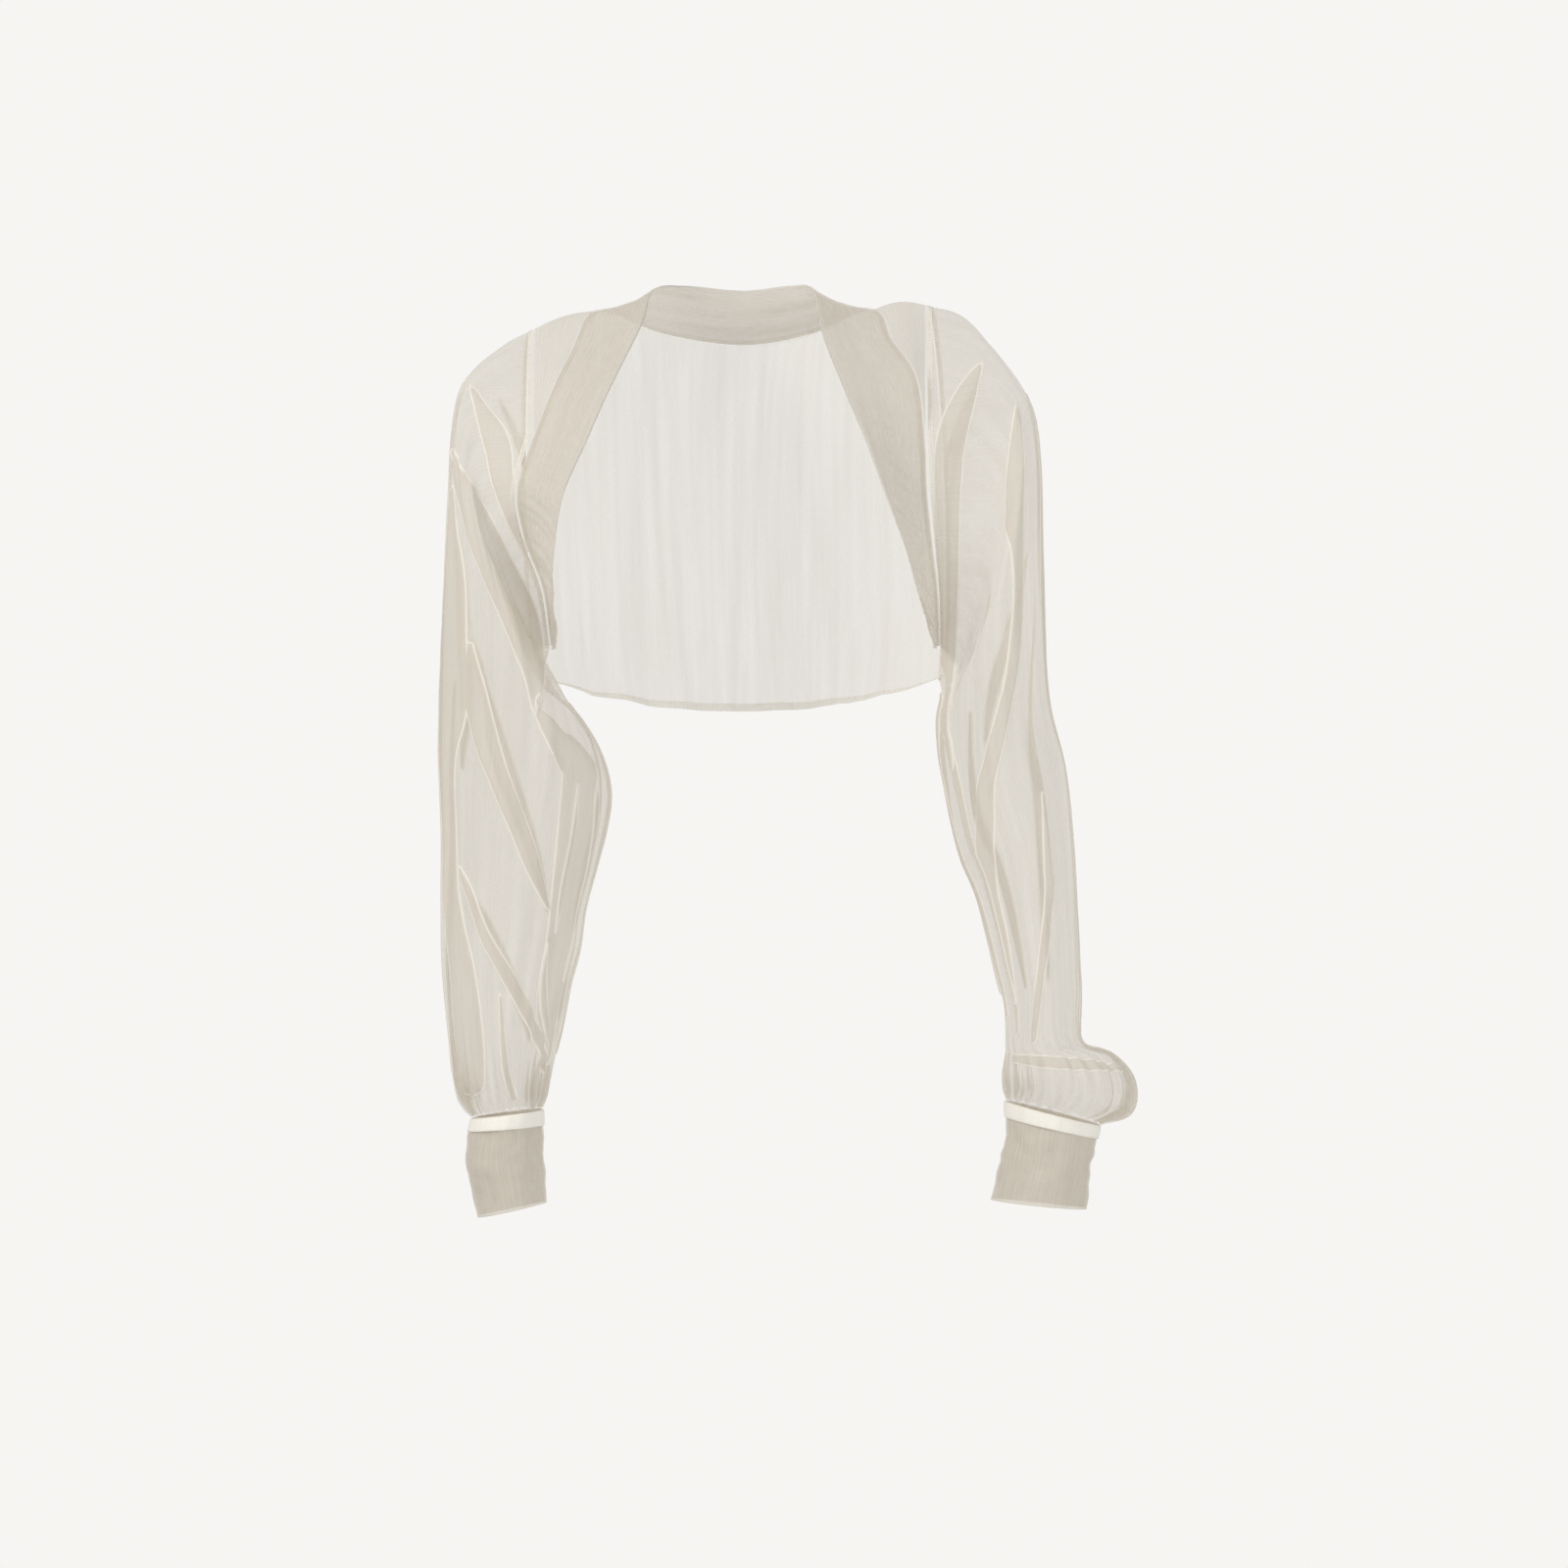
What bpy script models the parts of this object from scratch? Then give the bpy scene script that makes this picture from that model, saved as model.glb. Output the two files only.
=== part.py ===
"""Bolero jacket of sheer cloth, worn open: yokes, back, full gathered sleeves, doubled neck band and cuffs.

Metres, +Z up. The front faces -Y and the wearer's right side is at -X. The origin is the middle of the
neck opening at shoulder height, where the wearer's shoulders hold the jacket.
"""
import math

import bmesh
import bpy
import numpy as np

# Cloth walls
CLOTH_WALL = 0.0012
BAND_WALL = 0.0020
CUFF_WALL = 0.0015
BINDING_WALL = 0.0012

# Gaps and trims that keep the sewn pieces just apart
SEAM_TRIM = 0.0008
BAND_TRIM = 0.0010
BAND_SIDE_TRIM = 0.0011
ARMHOLE_TRIM = 0.0010
CUFF_SEAM_TRIM = 0.0009
BINDING_GAP = 0.0005

# Pieces each edge is divided into, the same on both sides of a seam
YOKE_ROWS = 8
BAND_FRONT_ROWS = 13
UNDERARM_ROWS = 3
BACK_NECK_ROWS = 9
SHOULDER_COLUMNS = 4
HALF_ARMHOLE = YOKE_ROWS + BAND_FRONT_ROWS + UNDERARM_ROWS
SLEEVE_RINGS = 21
BAND_COLUMNS = 4
CUFF_COLUMNS = 32
CUFF_RINGS = 5
BINDING_RINGS = 2

# Body
BACK_ROUNDNESS = 2.3
YOKE_SWELL = 0.003
BAND_CROWN = 0.0035
SHOULDER_STATION = 2
BAND_END_STATION = 9
NECK_SHARE = 0.17
TOP_DECAY = 3.5

# Sleeves
ARMHOLE_FADE = 2.6
ARMHOLE_SPREAD_FADE = 1.2
RING_CROWDING = 0.04
FOLD_RADIUS = 0.068
FOLD_CLEAR = 0.020
GATHERS = 12
GATHER_HEIGHT = 0.0030
GATHER_SEAM_HEIGHT = 0.0006
GATHER_PEAK = 0.016
GATHER_REACH = 0.085
BINDING_DEPTH = 0.011
BINDING_DROP = 0.0012

# Neck band: edge_x edge_y edge_z is its free edge, seam_x seam_y seam_z the edge sewn to the panels.
# Row 0 is the nape, 2 the shoulder, 9 the underarm end.
BAND = {
    "right": (
        (0.0000, 0.055, 0.028, 0.0000, 0.084, -0.012),
        (-0.0440, 0.043, 0.031, -0.0600, 0.070, -0.004),
        (-0.0657, 0.010, 0.026, -0.1095, 0.020, 0.0105),
        (-0.0740, -0.034, -0.0026, -0.1270, -0.014, -0.0210),
        (-0.0970, -0.070, -0.0520, -0.1410, -0.040, -0.0520),
        (-0.1150, -0.086, -0.0940, -0.1584, -0.053, -0.0990),
        (-0.1310, -0.094, -0.1316, -0.1664, -0.056, -0.1300),
        (-0.1375, -0.088, -0.1700, -0.1600, -0.042, -0.1640),
        (-0.1400, -0.075, -0.2060, -0.1475, -0.027, -0.1980),
        (-0.1405, -0.056, -0.2445, -0.1420, -0.008, -0.2400)),
    "left": (
        (0.0000, 0.055, 0.028, 0.0000, 0.084, -0.012),
        (0.0370, 0.043, 0.031, 0.0530, 0.070, -0.004),
        (0.0525, 0.010, 0.026, 0.0985, 0.020, 0.0115),
        (0.0600, -0.034, -0.0100, 0.1120, -0.018, -0.0130),
        (0.0750, -0.068, -0.0506, 0.1300, -0.044, -0.0425),
        (0.0905, -0.084, -0.0880, 0.1356, -0.056, -0.0880),
        (0.1060, -0.092, -0.1305, 0.1375, -0.056, -0.1305),
        (0.1210, -0.088, -0.1700, 0.1415, -0.046, -0.1680),
        (0.1315, -0.074, -0.2060, 0.1455, -0.028, -0.2005),
        (0.1445, -0.056, -0.2430, 0.1475, -0.008, -0.2400))}

# Where the armhole seam meets the band, in band rows, how far down to there the yoke's narrow tip goes, and
# how far the shoulder seam rises between its ends
BAND_MEETING = {"right": 4.7, "left": 5.0}
YOKE_TIP = {"right": 0.93, "left": 0.86}
SHOULDER_RISE = {"right": 0.003, "left": 0.004}

# Sleeve sections from the armhole to the cuff: outer_x outer_z inner_x inner_z are the section's ends seen
# from the front, middle_y its middle, front and back how far it reaches each way, front_spread and
# back_spread how far each of these stands outward, tuck how far the inner end lies forward of the middle.
SLEEVE = {
    "right": (
        (-0.1550, -0.0030, -0.1495, -0.2640, 0.018, 0.066, 0.062, 0.012, 0.010, -0.006),
        (-0.1780, -0.0170, -0.1480, -0.2680, 0.014, 0.056, 0.074, 0.026, 0.016, 0.000),
        (-0.2025, -0.0390, -0.1400, -0.2770, 0.011, 0.061, 0.080, 0.021, 0.016, 0.004),
        (-0.2135, -0.0780, -0.1220, -0.2930, 0.010, 0.067, 0.082, 0.014, 0.012, 0.008),
        (-0.2175, -0.1250, -0.1060, -0.3200, 0.008, 0.073, 0.081, 0.008, 0.006, 0.008),
        (-0.2215, -0.1850, -0.0985, -0.3500, 0.004, 0.076, 0.079, 0.003, 0.002, 0.006),
        (-0.2240, -0.2450, -0.1020, -0.3780, 0.000, 0.077, 0.078, 0.000, 0.000, 0.003),
        (-0.2243, -0.3150, -0.1090, -0.4060, -0.006, 0.075, 0.076, 0.000, 0.000, 0.000),
        (-0.2220, -0.3750, -0.1170, -0.4360, -0.010, 0.071, 0.074, 0.000, 0.000, 0.000),
        (-0.2222, -0.4300, -0.1210, -0.4640, -0.016, 0.067, 0.070, 0.000, 0.000, 0.000),
        (-0.2215, -0.4750, -0.1285, -0.4910, -0.020, 0.062, 0.065, 0.000, 0.000, 0.000),
        (-0.2175, -0.5180, -0.1350, -0.5220, -0.024, 0.056, 0.058, 0.000, 0.000, 0.000),
        (-0.2115, -0.5560, -0.1415, -0.5530, -0.028, 0.047, 0.049, 0.000, 0.000, 0.000),
        (-0.2045, -0.5800, -0.1460, -0.5760, -0.030, 0.0375, 0.039, 0.000, 0.000, 0.000),
        (-0.1985, -0.5895, -0.1485, -0.5830, -0.031, 0.0325, 0.034, 0.000, 0.000, 0.000)),
    "left": (
        (0.1370, 0.0148, 0.1470, -0.2640, 0.018, 0.066, 0.062, 0.012, 0.010, -0.006),
        (0.1660, 0.0035, 0.1480, -0.2690, 0.014, 0.056, 0.074, 0.028, 0.018, 0.000),
        (0.1925, -0.0270, 0.1485, -0.2790, 0.011, 0.062, 0.078, 0.024, 0.018, 0.004),
        (0.2125, -0.0580, 0.1450, -0.2960, 0.010, 0.070, 0.082, 0.014, 0.013, 0.008),
        (0.2205, -0.1000, 0.1465, -0.3220, 0.008, 0.076, 0.084, 0.004, 0.006, 0.010),
        (0.2225, -0.1650, 0.1520, -0.3500, 0.005, 0.077, 0.085, 0.000, 0.002, 0.006),
        (0.2248, -0.2250, 0.1570, -0.3740, 0.002, 0.077, 0.086, 0.000, 0.000, 0.003),
        (0.2285, -0.2800, 0.1640, -0.4000, -0.002, 0.077, 0.086, 0.000, 0.000, 0.000),
        (0.2405, -0.3300, 0.1750, -0.4260, -0.006, 0.076, 0.085, 0.000, 0.000, 0.000),
        (0.2460, -0.3850, 0.1830, -0.4550, -0.011, 0.075, 0.082, 0.000, 0.000, 0.000),
        (0.2490, -0.4400, 0.1890, -0.4810, -0.017, 0.071, 0.077, 0.000, 0.000, 0.000),
        (0.2505, -0.4900, 0.1950, -0.5080, -0.022, 0.065, 0.070, 0.000, 0.000, 0.000),
        (0.2525, -0.5330, 0.1960, -0.5360, -0.027, 0.056, 0.060, 0.000, 0.000, 0.000),
        (0.2745, -0.5435, 0.1960, -0.5430, -0.029, 0.060, 0.063, 0.000, 0.000, 0.000),
        (0.2885, -0.5620, 0.1945, -0.5560, -0.031, 0.062, 0.065, 0.000, 0.000, 0.000),
        (0.2865, -0.5840, 0.1955, -0.5680, -0.031, 0.055, 0.057, 0.000, 0.000, 0.000),
        (0.2645, -0.5945, 0.1965, -0.5770, -0.031, 0.038, 0.040, 0.000, 0.000, 0.000))}

# Folds of a sleeve, each a soft ridge through three places: angle in degrees round the sleeve (0 outer,
# 90 front, 180 inner, 270 back) and section along it, three times over, then its width and height.
FOLDS = {
    "right": (
        (34, 1.6, 70, 1.3, 108, 1.2, 0.010, 0.0045),
        (42, 3.1, 80, 3.3, 112, 4.4, 0.013, 0.0060),
        (50, 5.4, 77, 6.7, 116, 8.2, 0.013, 0.0065),
        (49, 8.7, 79, 9.6, 116, 11.1, 0.012, 0.0060),
        (30, 5.6, 28, 7.2, 26, 8.8, 0.011, 0.0040),
        (320, 3.2, 285, 3.8, 245, 5.2, 0.014, 0.0060),
        (312, 6.0, 280, 7.2, 245, 8.7, 0.013, 0.0065),
        (310, 8.9, 280, 9.8, 250, 11.0, 0.012, 0.0055)),
    "left": (
        (50, 1.2, 96, 1.3, 138, 4.6, 0.010, 0.0045),
        (48, 2.7, 54, 4.9, 88, 6.7, 0.012, 0.0060),
        (76, 3.4, 97, 5.9, 148, 7.9, 0.012, 0.0065),
        (94, 7.2, 118, 8.4, 122, 10.2, 0.011, 0.0055),
        (12, 8.5, 22, 9.8, 33, 11.2, 0.010, 0.0050),
        (70, 8.9, 84, 10.2, 96, 11.3, 0.010, 0.0045),
        (304, 2.4, 288, 4.4, 262, 6.4, 0.013, 0.0060),
        (322, 6.0, 296, 8.0, 284, 10.2, 0.012, 0.0060),
        (252, 5.4, 244, 7.8, 250, 10.4, 0.012, 0.0055))}

# Cuff sections from the sleeve's seam down: outer_x outer_z inner_x inner_z middle_y reach
CUFF = {
    "right": (
        (-0.1985, -0.5895, -0.1485, -0.5830, -0.031, 0.0330),
        (-0.2020, -0.6050, -0.1480, -0.6010, -0.031, 0.0335),
        (-0.2045, -0.6260, -0.1470, -0.6190, -0.031, 0.0335),
        (-0.1990, -0.6460, -0.1460, -0.6370, -0.031, 0.0325),
        (-0.1950, -0.6640, -0.1450, -0.6530, -0.031, 0.0315)),
    "left": (
        (0.2645, -0.5945, 0.1965, -0.5770, -0.031, 0.0385),
        (0.2615, -0.6100, 0.1965, -0.5960, -0.031, 0.0380),
        (0.2595, -0.6260, 0.1935, -0.6150, -0.031, 0.0370),
        (0.2570, -0.6430, 0.1895, -0.6340, -0.031, 0.0360),
        (0.2550, -0.6580, 0.1850, -0.6510, -0.031, 0.0350))}

# Middle of the back from nape to hem: y z
CENTRE_BACK = (
    (0.084, -0.012),
    (0.097, -0.055),
    (0.107, -0.105),
    (0.113, -0.160),
    (0.114, -0.210),
    (0.113, -0.250),
    (0.111, -0.288))

OUTWARD = {"right": -1, "left": 1}


def along(rows, place):
    """Smooth curve through the rows of a table, where place counts rows from 0."""
    table = np.array(rows, dtype=float)
    place = np.clip(np.asarray(place, dtype=float), 0, len(table) - 1)
    first = np.minimum(place.astype(int), len(table) - 2)
    share = (place - first)[..., None]
    start = table[first]
    end = table[first + 1]
    before = table[np.maximum(first - 1, 0)]
    after = table[np.minimum(first + 2, len(table) - 1)]
    slope_in = np.where((first == 0)[..., None], end - start, (end - before) / 2)
    slope_out = np.where((first == len(table) - 2)[..., None], end - start, (after - start) / 2)
    square = share ** 2
    cube = share ** 3
    return ((2 * cube - 3 * square + 1) * start + (cube - 2 * square + share) * slope_in
            + (3 * square - 2 * cube) * end + (cube - square) * slope_out)


def smooth_step(value):
    """0 below 0, 1 above 1 and a smooth rise between."""
    value = np.clip(value, 0, 1)
    return value * value * (3 - 2 * value)


def unit(vectors):
    """Vectors scaled to length 1."""
    return vectors / np.maximum(np.linalg.norm(vectors, axis=-1, keepdims=True), 1e-9)


def band_row(side, place):
    """Row of the neck band at a place from the nape, read from one curve over the nape."""
    rows = BAND["right"][:0:-1] + BAND["left"]
    return along(rows, BAND_END_STATION + OUTWARD[side] * np.asarray(place, dtype=float))


def band_edge(side, place):
    """Free edge of the neck band."""
    return band_row(side, place)[..., 0:3]


def band_seam(side, place):
    """Edge of the neck band that the panels are sewn to."""
    return band_row(side, place)[..., 3:6]


def sleeve_section(side, station, angle):
    """Point on the plain sleeve: angle 0 outer, a quarter turn front, half a turn inner."""
    row = along(SLEEVE[side], station)
    outer_x, outer_z, inner_x, inner_z, middle_y, front, back = np.moveaxis(row[..., 0:7], -1, 0)
    front_spread, back_spread, tuck = np.moveaxis(row[..., 7:10], -1, 0)
    cosine = np.cos(angle)
    sine = np.sin(angle)
    x = (outer_x + inner_x) / 2 + (outer_x - inner_x) / 2 * cosine
    z = (outer_z + inner_z) / 2 + (outer_z - inner_z) / 2 * cosine
    spread = np.where(sine > 0, front_spread, back_spread)
    x = x + OUTWARD[side] * spread * np.abs(sine)
    y = middle_y - sine * np.where(sine > 0, front, back) - tuck * (1 - cosine) / 2
    return np.stack((x, y, z), axis=-1)


def shoulder_tip(side):
    """Where the shoulder seam meets the sleeve."""
    return sleeve_section(side, np.array(0.0), np.array(0.0))


def armhole(side, turns):
    """Armhole seam: turns 0 is the shoulder tip, 0.5 the underarm and 1 the shoulder tip again."""
    turns = np.asarray(turns, dtype=float)
    meeting = BAND_MEETING[side]
    place = turns * 2 * HALF_ARMHOLE
    tip = shoulder_tip(side)
    underarm = sleeve_section(side, np.array(0.0), np.array(math.pi))
    yoke_share = np.clip(place / YOKE_ROWS, 0, 1)[..., None]
    yoke_part = tip + (band_seam(side, meeting) - tip) * yoke_share
    yoke_part = yoke_part - np.array((0, YOKE_SWELL * 2, 0)) * np.sin(math.pi * yoke_share)
    band_share = np.clip((place - YOKE_ROWS) / BAND_FRONT_ROWS, 0, 1)
    band_part = band_seam(side, meeting + band_share * (BAND_END_STATION - meeting))
    hem_share = np.clip((place - YOKE_ROWS - BAND_FRONT_ROWS) / UNDERARM_ROWS, 0, 1)[..., None]
    hem_part = band_seam(side, BAND_END_STATION) * (1 - hem_share) + underarm * hem_share
    back_part = sleeve_section(side, np.zeros_like(turns), 2 * math.pi * turns)
    place = place[..., None]
    front = np.where(place <= YOKE_ROWS, yoke_part,
                     np.where(place <= YOKE_ROWS + BAND_FRONT_ROWS, band_part, hem_part))
    return np.where(place <= HALF_ARMHOLE, front, back_part)


def station_lengths(side):
    """How far each sleeve section lies from the armhole, along the sleeve's middle."""
    table = np.array(SLEEVE[side])
    middle_x = (table[:, 0] + table[:, 2]) / 2
    middle_z = (table[:, 1] + table[:, 3]) / 2
    middle = np.stack((middle_x, table[:, 4], middle_z), axis=-1)
    steps = np.linalg.norm(np.diff(middle, axis=0), axis=-1)
    return np.concatenate(((0,), np.cumsum(steps)))


def fold_relief(side, angle, length):
    """Height of the sleeve's folds at an angle and a length from the armhole."""
    lengths = station_lengths(side)
    relief = np.zeros_like(angle)
    for row in FOLDS[side]:
        places = np.radians(row[0:6:2]) * FOLD_RADIUS
        reaches = np.interp(row[1:6:2], np.arange(len(lengths)), lengths)
        path = along(np.stack((places, reaches), axis=-1), np.linspace(0, 2, 13))
        width, height = row[6:8]
        nearest = np.full_like(angle, 1.0)
        share = np.zeros_like(angle)
        for turn in (-1, 0, 1):
            girth = (angle + 2 * math.pi * turn) * FOLD_RADIUS
            for index in range(len(path) - 1):
                step = path[index + 1] - path[index]
                position = ((girth - path[index, 0]) * step[0] + (length - path[index, 1]) * step[1]) \
                    / (step @ step)
                inside = np.clip(position, 0, 1)
                distance = np.hypot(girth - path[index, 0] - inside * step[0],
                                    length - path[index, 1] - inside * step[1])
                closer = distance < nearest
                share = np.where(closer, (index + inside) / (len(path) - 1), share)
                nearest = np.where(closer, distance, nearest)
        taper = smooth_step(share / 0.2) * smooth_step((1 - share) / 0.2)
        relief = relief + height * taper * np.exp(-(nearest / width) ** 2)
    return relief * smooth_step(length / FOLD_CLEAR)


def gather_relief(side, angle, length):
    """Height of the gathers above the cuff seam."""
    above = station_lengths(side)[-1] - length
    rise = smooth_step(above / GATHER_PEAK)
    fall = 1 - smooth_step((above - GATHER_PEAK) / (GATHER_REACH - GATHER_PEAK))
    height = (GATHER_SEAM_HEIGHT + (GATHER_HEIGHT - GATHER_SEAM_HEIGHT) * rise) * fall
    uneven = 1 + 0.35 * np.sin(3 * angle + 1)
    return height * uneven * np.cos(GATHERS * angle + 0.5 * np.sin(2 * angle))


def sleeve_points(side):
    """Rings of points down the sleeve, folds and gathers included."""
    last = len(SLEEVE[side]) - 1
    lengths = station_lengths(side)
    end = last - CUFF_SEAM_TRIM / (lengths[-1] - lengths[-2])
    shares = np.linspace(0, 1, SLEEVE_RINGS + 1)
    stations = end * (shares - RING_CROWDING * np.sin(2 * math.pi * shares))
    turns = np.linspace(0, 1, 2 * HALF_ARMHOLE + 1)
    station, turn = np.meshgrid(stations, turns, indexing="ij")
    angle = 2 * math.pi * turn
    points = sleeve_section(side, station, angle)
    correction = armhole(side, turn) - sleeve_section(side, np.zeros_like(station), angle)
    fade = np.clip(1 - station / ARMHOLE_FADE, 0, 1) ** 2
    fade_x = np.clip(1 - station / ARMHOLE_SPREAD_FADE, 0, 1) ** 2
    points = points + correction * np.stack((fade_x, fade, fade), axis=-1)
    length = np.interp(station, np.arange(last + 1), lengths)
    relief = fold_relief(side, angle, length) + gather_relief(side, angle, length)
    points = points + outward_normals(points, side) * relief[..., None]
    place = turns * 2 * HALF_ARMHOLE
    beside_band = smooth_step((place - YOKE_ROWS) / 5) * smooth_step((HALF_ARMHOLE - place) / 2)
    trim = ARMHOLE_TRIM + BAND_SIDE_TRIM * beside_band
    points[0] = points[0] + unit(points[1] - points[0]) * trim[:, None]
    return points


def outward_normals(points, side):
    """Unit normals of a closed tube of points, pointing out of it."""
    around = np.concatenate((points[:, -2:-1], points, points[:, 1:2]), axis=1)
    across = around[:, 2:] - around[:, :-2]
    down = np.gradient(points, axis=0)
    return unit(np.cross(down, across)) * OUTWARD[side] * -1


def neck_band_points():
    """Rows across the band from the right underarm over the nape to the left underarm."""
    rows = []
    for side in ("right", "left"):
        meeting = BAND_MEETING[side]
        places = np.concatenate((
            np.linspace(0, SHOULDER_STATION, BACK_NECK_ROWS + 1),
            np.linspace(SHOULDER_STATION, meeting, YOKE_ROWS + 1)[1:],
            np.linspace(meeting, BAND_END_STATION, BAND_FRONT_ROWS + 1)[1:]))
        edge = band_edge(side, places)
        seam = band_seam(side, places)
        width = np.linalg.norm(edge - seam, axis=-1, keepdims=True)
        tangent = unit(np.gradient(seam, axis=0))
        normal = unit(np.cross(tangent, unit(edge - seam))) * OUTWARD[side]
        shares = np.linspace(0, 1, BAND_COLUMNS + 1)
        trimmed = seam + (edge - seam) * BAND_TRIM / width
        strip = [trimmed + (edge - trimmed) * share + normal * BAND_CROWN * math.sin(math.pi * share)
                 for share in shares]
        strip = np.stack(strip, axis=1)
        rows.append(strip if side == "left" else strip[::-1])
    nape = (rows[0][-1:] + rows[1][:1]) / 2
    return np.concatenate((rows[0][:-1], nape, rows[1][1:]))


def shoulder_line(side, share):
    """Shoulder seam from the shoulder tip (0) to the neck band (1)."""
    tip = shoulder_tip(side)
    neck = band_seam(side, SHOULDER_STATION)
    share = np.asarray(share, dtype=float)[..., None]
    rise = np.array((0, 0, SHOULDER_RISE[side]))
    return tip + (neck - tip) * share + rise * np.sin(math.pi * share)


def front_points(side):
    """Yoke between the band, the shoulder seam and the armhole, narrow at its lower tip."""
    meeting = BAND_MEETING[side]
    rows = np.linspace(0, YOKE_TIP[side], YOKE_ROWS + 1)
    seam = band_seam(side, SHOULDER_STATION + rows * (meeting - SHOULDER_STATION))
    arm = armhole(side, rows * YOKE_ROWS / (2 * HALF_ARMHOLE))
    reach = np.linalg.norm(arm - seam, axis=-1)
    grid = []
    for share in np.linspace(0, 1, SHOULDER_COLUMNS + 1):
        trimmed = SEAM_TRIM / reach + share * (1 - 2 * SEAM_TRIM / reach)
        line = seam + (arm - seam) * trimmed[:, None]
        lift = shoulder_line(side, 1 - share) - (seam[0] + (arm[0] - seam[0]) * share)
        line = line + lift * ((1 - rows) ** 2)[:, None]
        swell = YOKE_SWELL * np.sin(math.pi * share) * np.sin(math.pi * np.clip(rows, 0, 1))
        grid.append(line - np.array((0, 1, 0)) * swell[:, None])
    grid = np.stack(grid, axis=1)
    down = unit(grid[1] - grid[0])
    grid[0] = grid[0] + down * SEAM_TRIM
    return grid


def back_points():
    """Back panel: rows from armhole to armhole, from the neck and shoulders down to the hem."""
    down = np.linspace(0, 1, HALF_ARMHOLE + 1)
    right = armhole("right", 1 - down / 2)
    left = armhole("left", 1 - down / 2)
    centre = along(CENTRE_BACK, down * (len(CENTRE_BACK) - 1))
    half = np.concatenate((np.linspace(0, NECK_SHARE, SHOULDER_COLUMNS + 1),
                           np.linspace(NECK_SHARE, 0.5, BACK_NECK_ROWS + 1)[1:]))
    shares = np.concatenate((half, 1 - half[-2::-1]))
    top = top_of_back()
    grid = []
    for row, share_down in enumerate(down):
        base = right[row] + (left[row] - right[row]) * shares[:, None]
        weight = 1 - np.abs(2 * shares - 1) ** BACK_ROUNDNESS
        middle = (right[row] + left[row]) / 2
        offset = np.array((0, centre[row, 0] - middle[1], centre[row, 1] - middle[2]))
        grid.append(base + weight[:, None] * offset)
    grid = np.stack(grid)
    correction = top - grid[0]
    grid = grid + correction[None] * ((1 - down) ** TOP_DECAY)[:, None, None]
    return trim_back(grid)


def top_of_back():
    """Top edge of the back: shoulder seam, back neck seam, shoulder seam."""
    parts = []
    for side in ("right", "left"):
        shoulder = shoulder_line(side, np.linspace(0, 1, SHOULDER_COLUMNS + 1))
        neck = band_seam(side, np.linspace(SHOULDER_STATION, 0, BACK_NECK_ROWS + 1)[1:])
        parts.append(np.concatenate((shoulder, neck)))
    return np.concatenate((parts[0], parts[1][-2::-1]))


def trim_back(grid):
    """Draws the back's seamed edges in, so that it stays clear of its neighbours."""
    trimmed = grid.copy()
    trimmed[0] = grid[0] + unit(grid[1] - grid[0]) * ARMHOLE_TRIM
    trimmed[:, 0] = trimmed[:, 0] + unit(grid[:, 1] - grid[:, 0]) * SEAM_TRIM
    trimmed[:, -1] = trimmed[:, -1] + unit(grid[:, -2] - grid[:, -1]) * SEAM_TRIM
    return trimmed


def cuff_ring(side, place, lift):
    """Ring of points on the cuff, moved out by lift."""
    outer_x, outer_z, inner_x, inner_z, middle_y, reach = along(CUFF[side], place)
    angles = np.linspace(0, 2 * math.pi, CUFF_COLUMNS + 1)
    half_x = (outer_x - inner_x) / 2
    half_z = (outer_z - inner_z) / 2
    stretch = 1 + lift / math.hypot(half_x, half_z)
    x = (outer_x + inner_x) / 2 + half_x * stretch * np.cos(angles)
    z = (outer_z + inner_z) / 2 + half_z * stretch * np.cos(angles)
    y = middle_y - (reach + lift) * np.sin(angles)
    return np.stack((x, y, z), axis=-1)


def cuff_points(side):
    """Rings down the cuff."""
    last = len(CUFF[side]) - 1
    return np.stack([cuff_ring(side, place, 0) for place in np.linspace(0.02, last, CUFF_RINGS + 1)])


def cuff_binding_points(side):
    """Rings of the strip that lies round the cuff's top."""
    depths = np.linspace(BINDING_DROP, BINDING_DROP + BINDING_DEPTH, BINDING_RINGS + 1)
    table = np.array(CUFF[side])
    section = np.abs(table[1, 1] + table[1, 3] - table[0, 1] - table[0, 3]) / 2
    lift = CUFF_WALL / 2 + BINDING_GAP + BINDING_WALL / 2
    return np.stack([cuff_ring(side, depth / section, lift) for depth in depths])


def cloth_object(name, points, wall, material, closed=False):
    """Sheet through rows of points, as an object with a wall; a closed one is sewn to itself."""
    rows, columns = points.shape[:2]
    mesh = bpy.data.meshes.new(name)
    sheet = bmesh.new()
    bmesh.ops.create_grid(sheet, x_segments=columns - 1, y_segments=rows - 1, size=0.5)
    for vert in sheet.verts:
        column = round((vert.co.x + 0.5) * (columns - 1))
        row = round((vert.co.y + 0.5) * (rows - 1))
        vert.co = points[row, column]
    if closed:
        bmesh.ops.remove_doubles(sheet, verts=sheet.verts, dist=0.000001)
    bmesh.ops.recalc_face_normals(sheet, faces=sheet.faces)
    sheet.to_mesh(mesh)
    sheet.free()
    mesh.shade_smooth()
    mesh.materials.append(material)
    piece = bpy.data.objects.new(name, mesh)
    jacket.objects.link(piece)
    thickness = piece.modifiers.new("wall", "SOLIDIFY")
    thickness.thickness = wall
    thickness.offset = 0
    return piece


def cloth_material(name, colour, roughness):
    """Plain cloth finish."""
    material = bpy.data.materials.new(name)
    material.use_nodes = True
    surface = material.node_tree.nodes["Principled BSDF"]
    surface.inputs["Base Color"].default_value = (*colour, 1)
    surface.inputs["Roughness"].default_value = roughness
    surface.inputs["Metallic"].default_value = 0
    return material


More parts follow.
